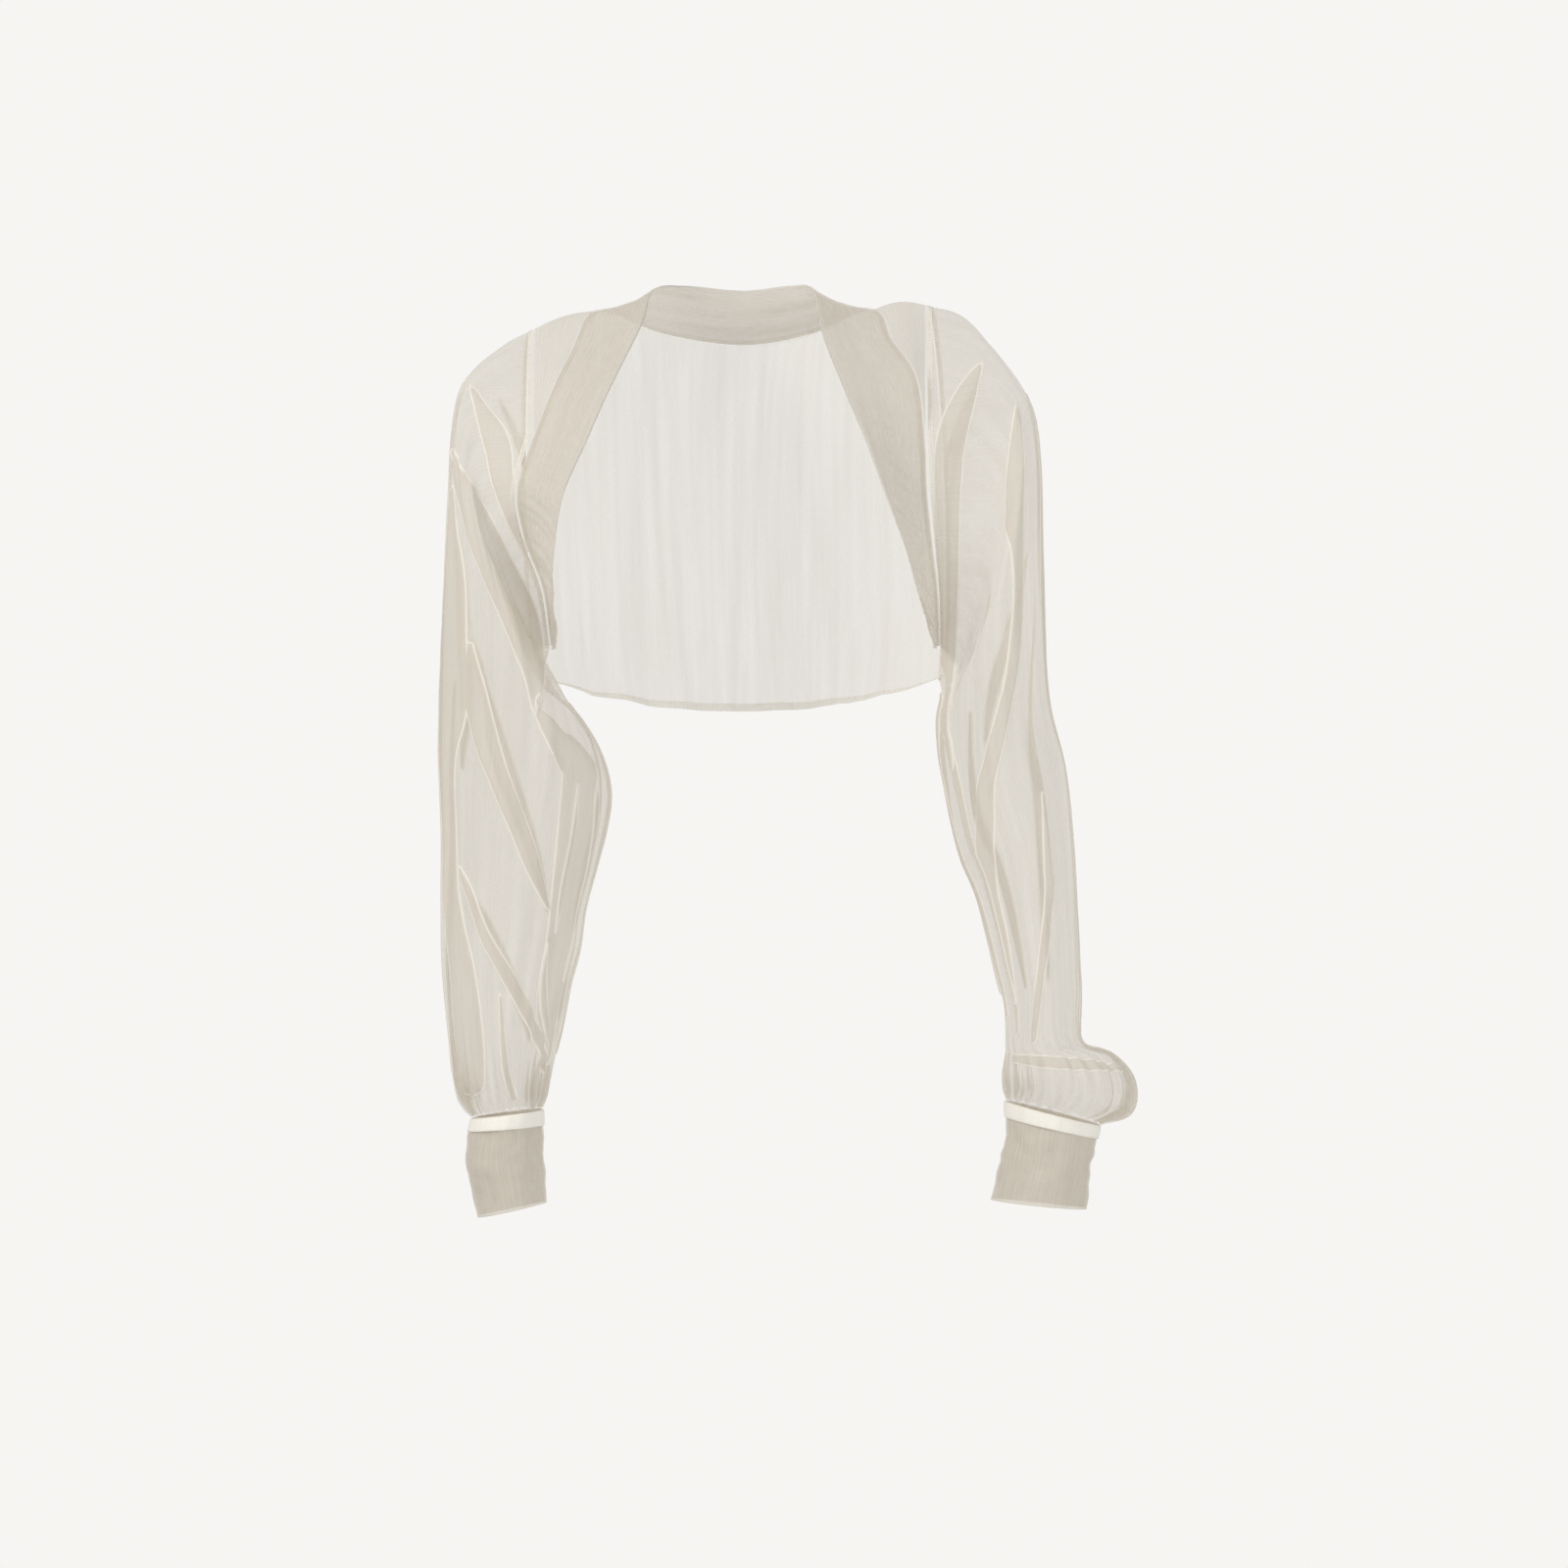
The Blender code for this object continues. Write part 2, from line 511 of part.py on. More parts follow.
for old in list(bpy.data.objects):
    bpy.data.objects.remove(old, do_unlink=True)
jacket = bpy.data.collections.new("bolero_jacket")
bpy.context.scene.collection.children.link(jacket)

chiffon = cloth_material("chiffon", (0.82, 0.79, 0.70), 0.75)
doubled_chiffon = cloth_material("doubled_chiffon", (0.80, 0.77, 0.69), 0.75)
binding = cloth_material("binding", (0.92, 0.89, 0.82), 0.6)

cloth_object("back", back_points(), CLOTH_WALL, chiffon)
cloth_object("neck_band", neck_band_points(), BAND_WALL, doubled_chiffon)
for wearer_side in ("right", "left"):
    cloth_object(f"front_{wearer_side}", front_points(wearer_side), CLOTH_WALL, chiffon)
    cloth_object(f"sleeve_{wearer_side}", sleeve_points(wearer_side), CLOTH_WALL, chiffon, closed=True)
    cloth_object(f"cuff_{wearer_side}", cuff_points(wearer_side), CUFF_WALL, doubled_chiffon, closed=True)
    cloth_object(f"cuff_binding_{wearer_side}", cuff_binding_points(wearer_side), BINDING_WALL, binding,
                 closed=True)
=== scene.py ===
# %% [markdown]
# # A sheer bolero jacket
#
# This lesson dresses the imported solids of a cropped, open-front jacket of ivory chiffon. Each solid panel is
# replaced by a thin sheet with the same form, so that the sewn pieces stay where the solids are. The sheets
# get what thick walls can't show: pleats pressed flat, gathers, a weave that lets light through, seam
# allowances, a turned hem and stitches.

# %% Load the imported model
import math

import bmesh
import bpy
import mathutils
import numpy as np
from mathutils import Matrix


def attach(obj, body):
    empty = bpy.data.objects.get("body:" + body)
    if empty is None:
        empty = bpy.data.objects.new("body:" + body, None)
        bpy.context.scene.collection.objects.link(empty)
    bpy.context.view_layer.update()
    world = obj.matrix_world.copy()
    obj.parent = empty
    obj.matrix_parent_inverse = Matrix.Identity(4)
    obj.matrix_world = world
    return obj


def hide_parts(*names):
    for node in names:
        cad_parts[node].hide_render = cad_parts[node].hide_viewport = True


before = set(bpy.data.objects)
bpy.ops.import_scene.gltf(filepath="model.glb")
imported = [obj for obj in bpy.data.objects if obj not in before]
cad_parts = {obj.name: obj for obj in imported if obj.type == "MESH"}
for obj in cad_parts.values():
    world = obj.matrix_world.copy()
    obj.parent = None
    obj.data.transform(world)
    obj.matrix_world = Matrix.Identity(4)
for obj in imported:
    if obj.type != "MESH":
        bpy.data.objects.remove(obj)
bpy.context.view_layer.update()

# %% [markdown]
# ## Shared helpers
#
# Objects and shader nodes are made in the same few steps each time, so those steps are written once. A node
# takes a value or another node's output for each of its sockets.

# %% Helpers for objects and shader nodes
TINY = 1e-9
SIDES = ("right", "left")


def put_in_scene(name, data):
    """New object with this data, linked to the scene."""
    made = bpy.data.objects.new(name, data)
    bpy.context.scene.collection.objects.link(made)
    return made


def mesh_object(name, shape, material):
    """Object made of a finished bmesh, which is freed."""
    mesh = bpy.data.meshes.new(name)
    shape.to_mesh(mesh)
    shape.free()
    mesh.materials.append(material)
    return put_in_scene(name, mesh)


def fill(tree, node, sockets):
    """Gives each named socket a value of its own, or links the output that is given for it."""
    for socket, value in sockets.items():
        if isinstance(value, bpy.types.NodeSocket):
            tree.links.new(value, node.inputs[socket])
        else:
            node.inputs[socket].default_value = value


def add_node(tree, kind, output, sockets, **settings):
    """Adds a filled shader node and returns the named output."""
    node = tree.nodes.new(f"ShaderNode{kind}")
    for setting, value in settings.items():
        setattr(node, setting, value)
    fill(tree, node, sockets)
    return node.outputs[output]


# %% [markdown]
# ## Camera, light and floor
#
# The camera looks straight at the front from far enough away that the sleeves keep their proportions. The
# world is a pale, even surround. Three large soft lamps give the cloth its shading: thin cloth shows light
# from the front and light that comes through it from behind.

# %% Camera
PHOTO_PIXELS = 1600
METRES_PER_PIXEL = 0.00073
PHOTO_CENTRE_X = 0.0314
PHOTO_CENTRE_Z = -0.3431
CAMERA_DISTANCE = 6.0
SENSOR_WIDTH = 36.0

camera = put_in_scene("camera", bpy.data.cameras.new("camera"))
camera.location = (PHOTO_CENTRE_X, -CAMERA_DISTANCE, PHOTO_CENTRE_Z)
camera.rotation_euler = (math.pi / 2, 0, 0)
camera.data.sensor_width = SENSOR_WIDTH
camera.data.lens = SENSOR_WIDTH * CAMERA_DISTANCE / (PHOTO_PIXELS * METRES_PER_PIXEL)
bpy.context.scene.camera = camera
bpy.context.scene.view_settings.view_transform = "Standard"
print("lens", round(camera.data.lens, 1), "mm")

# %% Lamps and surround
SURROUND = (0.923, 0.914, 0.896)
SURROUND_GLOW = 0.50
TRANSPARENT_LAYERS = 40

bpy.context.scene.cycles.transparent_max_bounces = TRANSPARENT_LAYERS


def soft_lamp(name, place, size, power, colour):
    """Square lamp at a place, turned towards the jacket."""
    lamp = bpy.data.lights.new(name, "AREA")
    lamp.size = size
    lamp.energy = power
    lamp.color = colour
    holder = put_in_scene(name, lamp)
    holder.location = place
    aim = bpy.context.scene.camera.location.copy()
    aim.y = 0
    holder.rotation_euler = (aim - holder.location).to_track_quat("-Z", "Y").to_euler()


soft_lamp("key_lamp", (-2.3, -1.9, 1.6), 1.2, 76, (1.0, 0.985, 0.96))
soft_lamp("fill_lamp", (2.4, -2.4, 0.1), 1.8, 42, (0.97, 0.985, 1.0))
soft_lamp("back_lamp", (1.2, 2.6, 1.6), 1.6, 34, (1.0, 0.99, 0.97))

world = bpy.data.worlds.new("pale surround")
bpy.context.scene.world = world
world.use_nodes = True
seen_by_camera = add_node(world.node_tree, "LightPath", "Is Camera Ray", {})
glow = add_node(world.node_tree, "MapRange", "Result",
                {"Value": seen_by_camera, "To Min": SURROUND_GLOW, "To Max": 1.0})
fill(world.node_tree, world.node_tree.nodes["Background"], {"Color": (*SURROUND, 1), "Strength": glow})

# %% Floor
FLOOR_Z = -1.43
FLOOR_RADIUS = 2.8
FLOOR_FADE_START = 0.35
FLOOR_SIDES = 96
FLOOR_COLOUR = (0.86, 0.85, 0.83)
FLOOR_ROUGHNESS = 0.9


def pale_floor():
    """Round pale floor that fades into the surround at its rim."""
    material = bpy.data.materials.new("pale_floor")
    material.use_nodes = True
    tree = material.node_tree
    surface = tree.nodes["Principled BSDF"]
    fill(tree, surface, {"Base Color": (*FLOOR_COLOUR, 1), "Roughness": FLOOR_ROUGHNESS})
    place = add_node(tree, "TexCoord", "Object", {})
    centred = add_node(tree, "Mapping", "Vector", {"Vector": place, "Scale": (1 / FLOOR_RADIUS,) * 3,
                                                   "Location": (0, 0, -FLOOR_Z / FLOOR_RADIUS)})
    round_fade = add_node(tree, "TexGradient", "Fac", {"Vector": centred}, gradient_type="SPHERICAL")
    cover = add_node(tree, "MapRange", "Result", {"Value": round_fade, "From Max": 1 - FLOOR_FADE_START},
                     interpolation_type="SMOOTHSTEP")
    clear = add_node(tree, "BsdfTransparent", "BSDF", {})
    mix = add_node(tree, "MixShader", "Shader", {"Fac": cover, 1: clear, 2: surface.outputs["BSDF"]})
    fill(tree, tree.nodes["Material Output"], {"Surface": mix})
    disc = bmesh.new()
    bmesh.ops.create_circle(disc, cap_ends=True, segments=FLOOR_SIDES, radius=FLOOR_RADIUS)
    bmesh.ops.translate(disc, verts=disc.verts, vec=(0, 0, FLOOR_Z))
    floor = mesh_object("floor", disc, material)


pale_floor()

# %% [markdown]
# ## The cloth
#
# Chiffon is a plain weave of very fine, hard-twisted yarn. One layer hides a bit under half of what is behind
# it, so wherever the jacket folds over itself it looks denser. That is why every layer here is a real sheet:
# the shader only has to say how much one layer covers. A Transparent shader lets the rest through, and a
# Translucent one passes soft light, as cloth does. Long faint streaks stand for uneven yarn and a fine grain
# for the crepe surface. All of it reads the sheet's own UV map, which is laid out in metres.
#
# Marks on the mesh, named lap and overlap, say in millimetres how far inside a doubled stretch a point lies,
# counted from EDGE_MARK at its edge. A number that rises evenly across the edge lets the shader draw the edge
# finer than the mesh is: it makes the doubled stretch denser, and the fold line denser and painted pale, a
# painted highlight where light catches the fold.

# %% Sheer and dense cloth
YARN_STREAKS_PER_METRE = 950
YARN_STREAK_LENGTHS_PER_METRE = 24
CREPE_GRAINS_PER_METRE = 1500
CREPE_BUMP_HEIGHT = 0.00012
GATHER_STREAKS_PER_METRE = 120
GATHER_STREAK_LENGTHS_PER_METRE = 7
GATHER_STREAK_COVER = 0.07
EDGE_MARK = 6
EDGE_LINE_CORE = 0.2
EDGE_LINE_END = 0.95
LAP_RISE = 0.3
LAP_FADE_START = 1
LAP_FADE = 9
LAP_COVER = 0.80
LAP_COVER_INSIDE = 0.52
# EDGE_COVER is the cover of a fold line and also how far its colour turns to the painted CREAM highlight.
EDGE_COVER = 0.85
IVORY = (0.72, 0.672, 0.592)
# CREAM is the binding's and the thread's own colour, and also the painted highlight along fold lines.
CREAM = (0.95, 0.925, 0.86)
SEAM_IVORY = (0.88, 0.85, 0.78)
SHEEN = {"Sheen Weight": 0.25, "Sheen Roughness": 0.4, "Specular IOR Level": 0.25}
GRAIN_SPAN = (0.3, 0.7)
WEFT_SHARES = (0.4, 0.6)
YARN_SPAN = (0.75, 1.25)
TONE_SPAN = (1.1, 1.9)
CREPE_BUMP_STRENGTH = 0.6
# SHADED_YARN and LIT_YARN give painted shade and highlight: shaded and lit copies of the cloth colour.
SHADED_YARN = 0.93
LIT_YARN = 1.05


def woven_cloth(name, colour, cover, through, streak=0.10, roughness=0.7):
    """Cloth: one layer hides the share cover of what is behind it and lets the share through of light by."""
    material = bpy.data.materials.new(name)
    material.use_nodes = True
    tree = material.node_tree
    surface = tree.nodes["Principled BSDF"]
    place = add_node(tree, "UVMap", "UV", {}, uv_map="cloth")

    def maths(operation, first, second):
        return add_node(tree, "Math", "Value", {0: first, 1: second}, operation=operation)

    def ranged(value, low, high, span=GRAIN_SPAN):
        return add_node(tree, "MapRange", "Result", {
            "Value": value, "From Min": span[0], "From Max": span[1], "To Min": low, "To Max": high})

    def grain(scale, detail):
        stretched = add_node(tree, "Mapping", "Vector", {"Vector": place, "Scale": scale})
        return add_node(tree, "TexNoise", "Fac", {"Vector": stretched, "Scale": 1, "Detail": detail})

    def edge_strength(mark):
        value = add_node(tree, "Attribute", "Fac", {}, attribute_name=mark)
        from_edge = maths("ABSOLUTE", maths("SUBTRACT", value, EDGE_MARK), 0)
        return ranged(from_edge, EDGE_COVER, 0, (EDGE_LINE_CORE, EDGE_LINE_END))

    def lap_strength(mark):
        value = add_node(tree, "Attribute", "Fac", {}, attribute_name=mark)
        begun = ranged(value, 0, 1, (EDGE_MARK - LAP_RISE, EDGE_MARK + LAP_RISE))
        fade_span = (EDGE_MARK + LAP_FADE_START, EDGE_MARK + LAP_FADE)
        fading = ranged(value, LAP_COVER, LAP_COVER_INSIDE, fade_span)
        return maths("MULTIPLY", begun, fading)

    warp = grain((YARN_STREAKS_PER_METRE, YARN_STREAK_LENGTHS_PER_METRE, 1), 2)
    weft = grain((YARN_STREAK_LENGTHS_PER_METRE, YARN_STREAKS_PER_METRE, 1), 2)
    crepe = grain((CREPE_GRAINS_PER_METRE,) * 3, 1)
    cloud = grain((GATHER_STREAKS_PER_METRE, GATHER_STREAK_LENGTHS_PER_METRE, 1), 2)
    yarns = maths("ADD", warp, ranged(weft, *WEFT_SHARES, (0, 1)))
    uneven = ranged(yarns, cover * (1 - streak), cover * (1 + streak), YARN_SPAN)
    density = maths("ADD", uneven, ranged(cloud, -GATHER_STREAK_COVER, GATHER_STREAK_COVER))
    edge = maths("MAXIMUM", edge_strength("lap"), edge_strength("overlap"))
    doubled = maths("MAXIMUM", lap_strength("lap"), lap_strength("overlap"))
    solid = add_node(tree, "Mix", "Result", {"Factor": maths("MAXIMUM", edge, doubled), "A": density, "B": 1},
                     data_type="FLOAT")
    # Random yarn tone with painted shade and highlight: darker where the crepe bump is low, lighter where it
    # is high.
    weave_shade_and_tone = add_node(tree, "Mix", "Result", {
        "Factor": ranged(maths("ADD", yarns, crepe), 0, 1, TONE_SPAN),
        "A": (*[channel * SHADED_YARN for channel in colour], 1),
        "B": (*[min(1, channel * LIT_YARN) for channel in colour], 1)}, data_type="RGBA")
    # Painted highlight: the colour turns to CREAM along the fold lines, where light catches the fold.
    fold_highlighted_tone = add_node(tree, "Mix", "Result", {"Factor": edge, "A": weave_shade_and_tone, "B": (*CREAM, 1)},
                         data_type="RGBA")
    bump = add_node(tree, "Bump", "Normal", {
        "Height": maths("ADD", crepe, yarns), "Strength": CREPE_BUMP_STRENGTH, "Distance": CREPE_BUMP_HEIGHT})
    fill(tree, surface, {"Base Color": fold_highlighted_tone, "Normal": bump, "Roughness": roughness, **SHEEN})
    lit_through = add_node(tree, "BsdfTranslucent", "BSDF", {"Color": fold_highlighted_tone, "Normal": bump})
    clear = add_node(tree, "BsdfTransparent", "BSDF", {})
    cloth = add_node(tree, "MixShader", "Shader",
                     {"Fac": through, 1: surface.outputs["BSDF"], 2: lit_through})
    mix = add_node(tree, "MixShader", "Shader", {"Fac": solid, 1: clear, 2: cloth})
    fill(tree, tree.nodes["Material Output"], {"Surface": mix})
    return material


chiffon = woven_cloth("ivory_chiffon", IVORY, cover=0.40, through=0.35)
band_chiffon = woven_cloth("ivory_band_chiffon", IVORY, cover=0.52, through=0.30, streak=0.16)
seam_chiffon = woven_cloth("ivory_seam", SEAM_IVORY, cover=0.66, through=0.25)
cream_binding = woven_cloth("cream_binding", CREAM, cover=1.0, through=0.12, streak=0.0, roughness=0.6)

# %% [markdown]
# ## Sheets from rows of points
#
# Every panel starts as Blender's own flat grid, whose vertices are then put on the panel's curved form. A
# sleeve is a grid closed into a tube. The grid brings a UV map with it, which is stretched to the sheet's
# real width and length, so that the weave keeps its scale on every piece. A cloth simulation could let such
# sheets hang by themselves, but it wouldn't find these very folds. They are placed one by one instead, which
# also gives the same cloth on every run.

# %% Sheet helpers
MERGE_DISTANCE = 0.000001


def along(rows, place):
    """Smooth curve through the rows of a table, where place counts rows from 0."""
    table = np.array(rows, dtype=float)
    place = np.clip(np.asarray(place, dtype=float), 0, len(table) - 1)
    first = np.minimum(place.astype(int), len(table) - 2)
    share = (place - first)[..., None]
    start = table[first]
    end = table[first + 1]
    before = table[np.maximum(first - 1, 0)]
    after = table[np.minimum(first + 2, len(table) - 1)]
    slope_in = np.where((first == 0)[..., None], end - start, (end - before) / 2)
    slope_out = np.where((first == len(table) - 2)[..., None], end - start, (after - start) / 2)
    square = share ** 2
    cube = share ** 3
    return ((2 * cube - 3 * square + 1) * start + (cube - 2 * square + share) * slope_in
            + (3 * square - 2 * cube) * end + (cube - square) * slope_out)


def smooth_step(value):
    """0 below 0, 1 above 1 and a smooth rise between."""
    value = np.clip(value, 0, 1)
    return value * value * (3 - 2 * value)


def unit(vectors):
    """Vectors scaled to length 1."""
    return vectors / np.maximum(np.linalg.norm(vectors, axis=-1, keepdims=True), TINY)


def distance_along(points, axis=0):
    """How far along its column or row each point lies from the first one."""
    steps = np.diff(points, axis=axis, prepend=points.take([0], axis=axis))
    return np.linalg.norm(steps, axis=-1).cumsum(axis=axis)


def sheet_normals(points, closed):
    """Unit normals of a sheet of points, whose columns may run round a tube."""
    if closed:
        around = np.concatenate((points[:, -2:-1], points, points[:, 1:2]), axis=1)
        across = around[:, 2:] - around[:, :-2]
    else:
        across = np.gradient(points, axis=1)
    return unit(np.cross(np.gradient(points, axis=0), across))


def sew_in(piece, slot, *nodes):
    """Makes a finished piece part of the jacket, in place of the solids that it stands for."""
    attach(piece, "root")
    if nodes:
        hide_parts(*nodes)


def cloth_sheet(name, points, material, slot, *nodes, closed=False, **marks):
    """Sews in a sheet of cloth through rows of points, with a UV map in metres and marks on its vertices."""
    rows, columns = points.shape[:2]
    sheet = bmesh.new()
    sheet.loops.layers.uv.new("cloth")
    for mark in marks:
        sheet.verts.layers.float.new(mark)
    bmesh.ops.create_grid(sheet, x_segments=columns - 1, y_segments=rows - 1, size=0.5, calc_uvs=True)
    for vert in sheet.verts:
        column = round((vert.co.x + 0.5) * (columns - 1))
        row = round((vert.co.y + 0.5) * (rows - 1))
        vert.co = points[row, column]
        for mark, values in marks.items():
            vert[sheet.verts.layers.float[mark]] = values[row, column]
    if closed:
        bmesh.ops.remove_doubles(sheet, verts=sheet.verts, dist=MERGE_DISTANCE)
    bmesh.ops.recalc_face_normals(sheet, faces=sheet.faces)
    piece = mesh_object(name, sheet, material)
    mesh = piece.data
    mesh.shade_smooth()
    width = distance_along(points, 1)[:, -1].mean()
    length = distance_along(points)[-1].mean()
    spread = np.empty(len(mesh.loops) * 2, dtype=np.float32)
    mesh.uv_layers["cloth"].data.foreach_get("uv", spread)
    spread = (spread.reshape(-1, 2) * (width, length)).astype(np.float32)
    mesh.uv_layers["cloth"].data.foreach_set("uv", spread.ravel())
    sew_in(piece, slot, *nodes)
    area = sum(face.area for face in mesh.polygons)
    print(f"{name}: {len(mesh.polygons)} faces, {width:.3f} x {length:.3f} m, {area:.4f} square metre")
    return piece


def fold_mark(points, axis, fold, width):
    """Lap mark: a painted highlight line of a width in metres along a fold, a row or column of points."""
    reach = distance_along(points, axis)
    return EDGE_MARK - EDGE_LINE_END * np.abs(reach - reach.take([fold], axis=axis)) / width


# %% [markdown]
# ## The form of the jacket
#
# These are the driving sizes of the solids, so that the sheets lie inside the walls. Short tables describe
# the neck band from the nape to the underarm and each sleeve from the armhole to the cuff. The two arms hang
# differently, so each side has its own rows.

# %% Tables of millimetres


def in_metres(tables):
    """Each side's rows of millimetres as an array of metres, short rows filled up with zeros."""
    longest = max(len(row) for row in tables["right"])
    return {side: np.array([row + (0,) * (longest - len(row)) for row in rows]) / 1000
            for side, rows in tables.items()}


# %% Neck band rows
# edge_x edge_y edge_z is the free edge, seam_x seam_y seam_z the sewn one; row 0 is the nape, 2 the shoulder
# and 9 the underarm
BAND = in_metres({
    "right": (
        (0, 55, 28, 0, 84, -12),
        (-44, 43, 31, -60, 70, -4),
        (-65.7, 10, 26, -109.5, 20, 10.5),
        (-74, -34, -2.6, -127, -14, -21),
        (-97, -70, -52, -141, -40, -52),
        (-115, -86, -94, -158.4, -53, -99),
        (-131, -94, -131.6, -166.4, -56, -130),
        (-137.5, -88, -170, -160, -42, -164),
        (-140, -75, -206, -147.5, -27, -198),
        (-140.5, -56, -244.5, -142, -8, -240)),
    "left": (
        (0, 55, 28, 0, 84, -12),
        (37, 43, 31, 53, 70, -4),
        (52.5, 10, 26, 98.5, 20, 11.5),
        (60, -34, -10, 112, -18, -13),
        (75, -68, -50.6, 130, -44, -42.5),
        (90.5, -84, -88, 135.6, -56, -88),
        (106, -92, -130.5, 137.5, -56, -130.5),
        (121, -88, -170, 141.5, -46, -168),
        (131.5, -74, -206, 145.5, -28, -200.5),
        (144.5, -56, -243, 147.5, -8, -240))})
SHOULDER_STATION = 2
BAND_END_STATION = 9
BAND_MEETING = {"right": 4.7, "left": 5.0}
OUTWARD = {"right": -1, "left": 1}

# %% Sleeve rows
# outer_x outer_z inner_x inner_z middle_y front back, and near the armhole front_spread back_spread tuck; the
# rows run from the armhole down
SLEEVE = in_metres({
    "right": (
        (-155, -3, -149.5, -264, 18, 66, 62, 12, 10, -6),
        (-178, -17, -148, -268, 14, 56, 74, 26, 16),
        (-202.5, -39, -140, -277, 11, 61, 80, 21, 16, 4),
        (-213.5, -78, -122, -293, 10, 67, 82, 14, 12, 8),
        (-217.5, -125, -106, -320, 8, 73, 81, 8, 6, 8),
        (-221.5, -185, -98.5, -350, 4, 76, 79, 3, 2, 6),
        (-224, -245, -102, -378, 0, 77, 78, 0, 0, 3),
        (-224.3, -315, -109, -406, -6, 75, 76),
        (-222, -375, -117, -436, -10, 71, 74),
        (-222.2, -430, -121, -464, -16, 67, 70),
        (-221.5, -475, -128.5, -491, -20, 62, 65),
        (-217.5, -518, -135, -522, -24, 56, 58),
        (-211.5, -556, -141.5, -553, -28, 47, 49),
        (-204.5, -580, -146, -576, -30, 37.5, 39),
        (-198.5, -589.5, -148.5, -583, -31, 32.5, 34)),
    "left": (
        (137, 14.8, 147, -264, 18, 66, 62, 12, 10, -6),
        (166, 3.5, 148, -269, 14, 56, 74, 28, 18),
        (192.5, -27, 148.5, -279, 11, 62, 78, 24, 18, 4),
        (212.5, -58, 145, -296, 10, 70, 82, 14, 13, 8),
        (220.5, -100, 146.5, -322, 8, 76, 84, 4, 6, 10),
        (222.5, -165, 152, -350, 5, 77, 85, 0, 2, 6),
        (224.8, -225, 157, -374, 2, 77, 86, 0, 0, 3),
        (228.5, -280, 164, -400, -2, 77, 86),
        (240.5, -330, 175, -426, -6, 76, 85),
        (246, -385, 183, -455, -11, 75, 82),
        (249, -440, 189, -481, -17, 71, 77),
        (250.5, -490, 195, -508, -22, 65, 70),
        (252.5, -533, 196, -536, -27, 56, 60),
        (274.5, -543.5, 196, -543, -29, 60, 63),
        (288.5, -562, 194.5, -556, -31, 62, 65),
        (286.5, -584, 195.5, -568, -31, 55, 57),
        (264.5, -594.5, 196.5, -577, -31, 38, 40))})
ARMHOLE_FADE = 2.6
ARMHOLE_SPREAD_FADE = 1.2
YOKE_SHARE = 8 / 48
BAND_SHARE = 21 / 48
YOKE_SWELL = 0.003

# %% Form of the band, the armhole and the sleeve


def band_row(side, place):
    """Row of the neck band at a place from the nape, read from one curve over the nape."""
    rows = np.concatenate((BAND["right"][:0:-1], BAND["left"]))
    return along(rows, BAND_END_STATION + OUTWARD[side] * np.asarray(place, dtype=float))


def band_seam(side, place):
    """Edge of the neck band that the panels are sewn to."""
    return band_row(side, place)[..., 3:6]


def sleeve_section(side, station, angle):
    """Point on the plain sleeve: angle 0 outer, a quarter turn front, half a turn inner."""
    row = along(SLEEVE[side], station)
    outer_x, outer_z, inner_x, inner_z, middle_y, front, back = np.moveaxis(row[..., 0:7], -1, 0)
    front_spread, back_spread, tuck = np.moveaxis(row[..., 7:10], -1, 0)
    cosine = np.cos(angle)
    sine = np.sin(angle)
    x = (outer_x + inner_x) / 2 + (outer_x - inner_x) / 2 * cosine
    z = (outer_z + inner_z) / 2 + (outer_z - inner_z) / 2 * cosine
    spread = np.where(sine > 0, front_spread, back_spread)
    x = x + OUTWARD[side] * spread * np.abs(sine)
    y = middle_y - sine * np.where(sine > 0, front, back) - tuck * (1 - cosine) / 2
    return np.stack((x, y, z), axis=-1)


def armhole(side, turns):
    """Armhole seam: turns 0 is the shoulder tip, 0.5 the underarm and 1 the shoulder tip again."""
    turns = np.asarray(turns, dtype=float)
    meeting = BAND_MEETING[side]
    tip = sleeve_section(side, np.array(0.0), np.array(0.0))
    underarm = sleeve_section(side, np.array(0.0), np.array(math.pi))
    yoke_share = np.clip(turns / YOKE_SHARE, 0, 1)[..., None]
    yoke_part = tip + (band_seam(side, meeting) - tip) * yoke_share
    yoke_part = yoke_part - np.array((0, YOKE_SWELL * 2, 0)) * np.sin(math.pi * yoke_share)
    band_share = np.clip((turns - YOKE_SHARE) / (BAND_SHARE - YOKE_SHARE), 0, 1)
    band_part = band_seam(side, meeting + band_share * (BAND_END_STATION - meeting))
    hem_share = np.clip((turns - BAND_SHARE) / (0.5 - BAND_SHARE), 0, 1)[..., None]
    hem_part = band_seam(side, BAND_END_STATION) * (1 - hem_share) + underarm * hem_share
    back_part = sleeve_section(side, np.zeros_like(turns), 2 * math.pi * turns)
    turns = turns[..., None]
    front = np.where(turns <= YOKE_SHARE, yoke_part, np.where(turns <= BAND_SHARE, band_part, hem_part))
    return np.where(turns <= 0.5, front, back_part)


def sleeve_form(side, station, angle):
    """Plain sleeve, blended into the armhole seam at its top."""
    angle = np.mod(angle, 2 * math.pi)
    points = sleeve_section(side, station, angle)
    correction = armhole(side, angle / (2 * math.pi)) - sleeve_section(side, np.zeros_like(station), angle)
    fade = np.clip(1 - station / ARMHOLE_FADE, 0, 1) ** 2
    fade_x = np.clip(1 - station / ARMHOLE_SPREAD_FADE, 0, 1) ** 2
    return points + correction * np.stack((fade_x, fade, fade), axis=-1)


def station_lengths(side):
    """How far each sleeve section lies from the armhole, along the sleeve's middle."""
    table = SLEEVE[side]
    across = (table[:, 0] + table[:, 2]) / 2
    up = (table[:, 1] + table[:, 3]) / 2
    return distance_along(np.stack((across, table[:, 4], up), axis=-1))
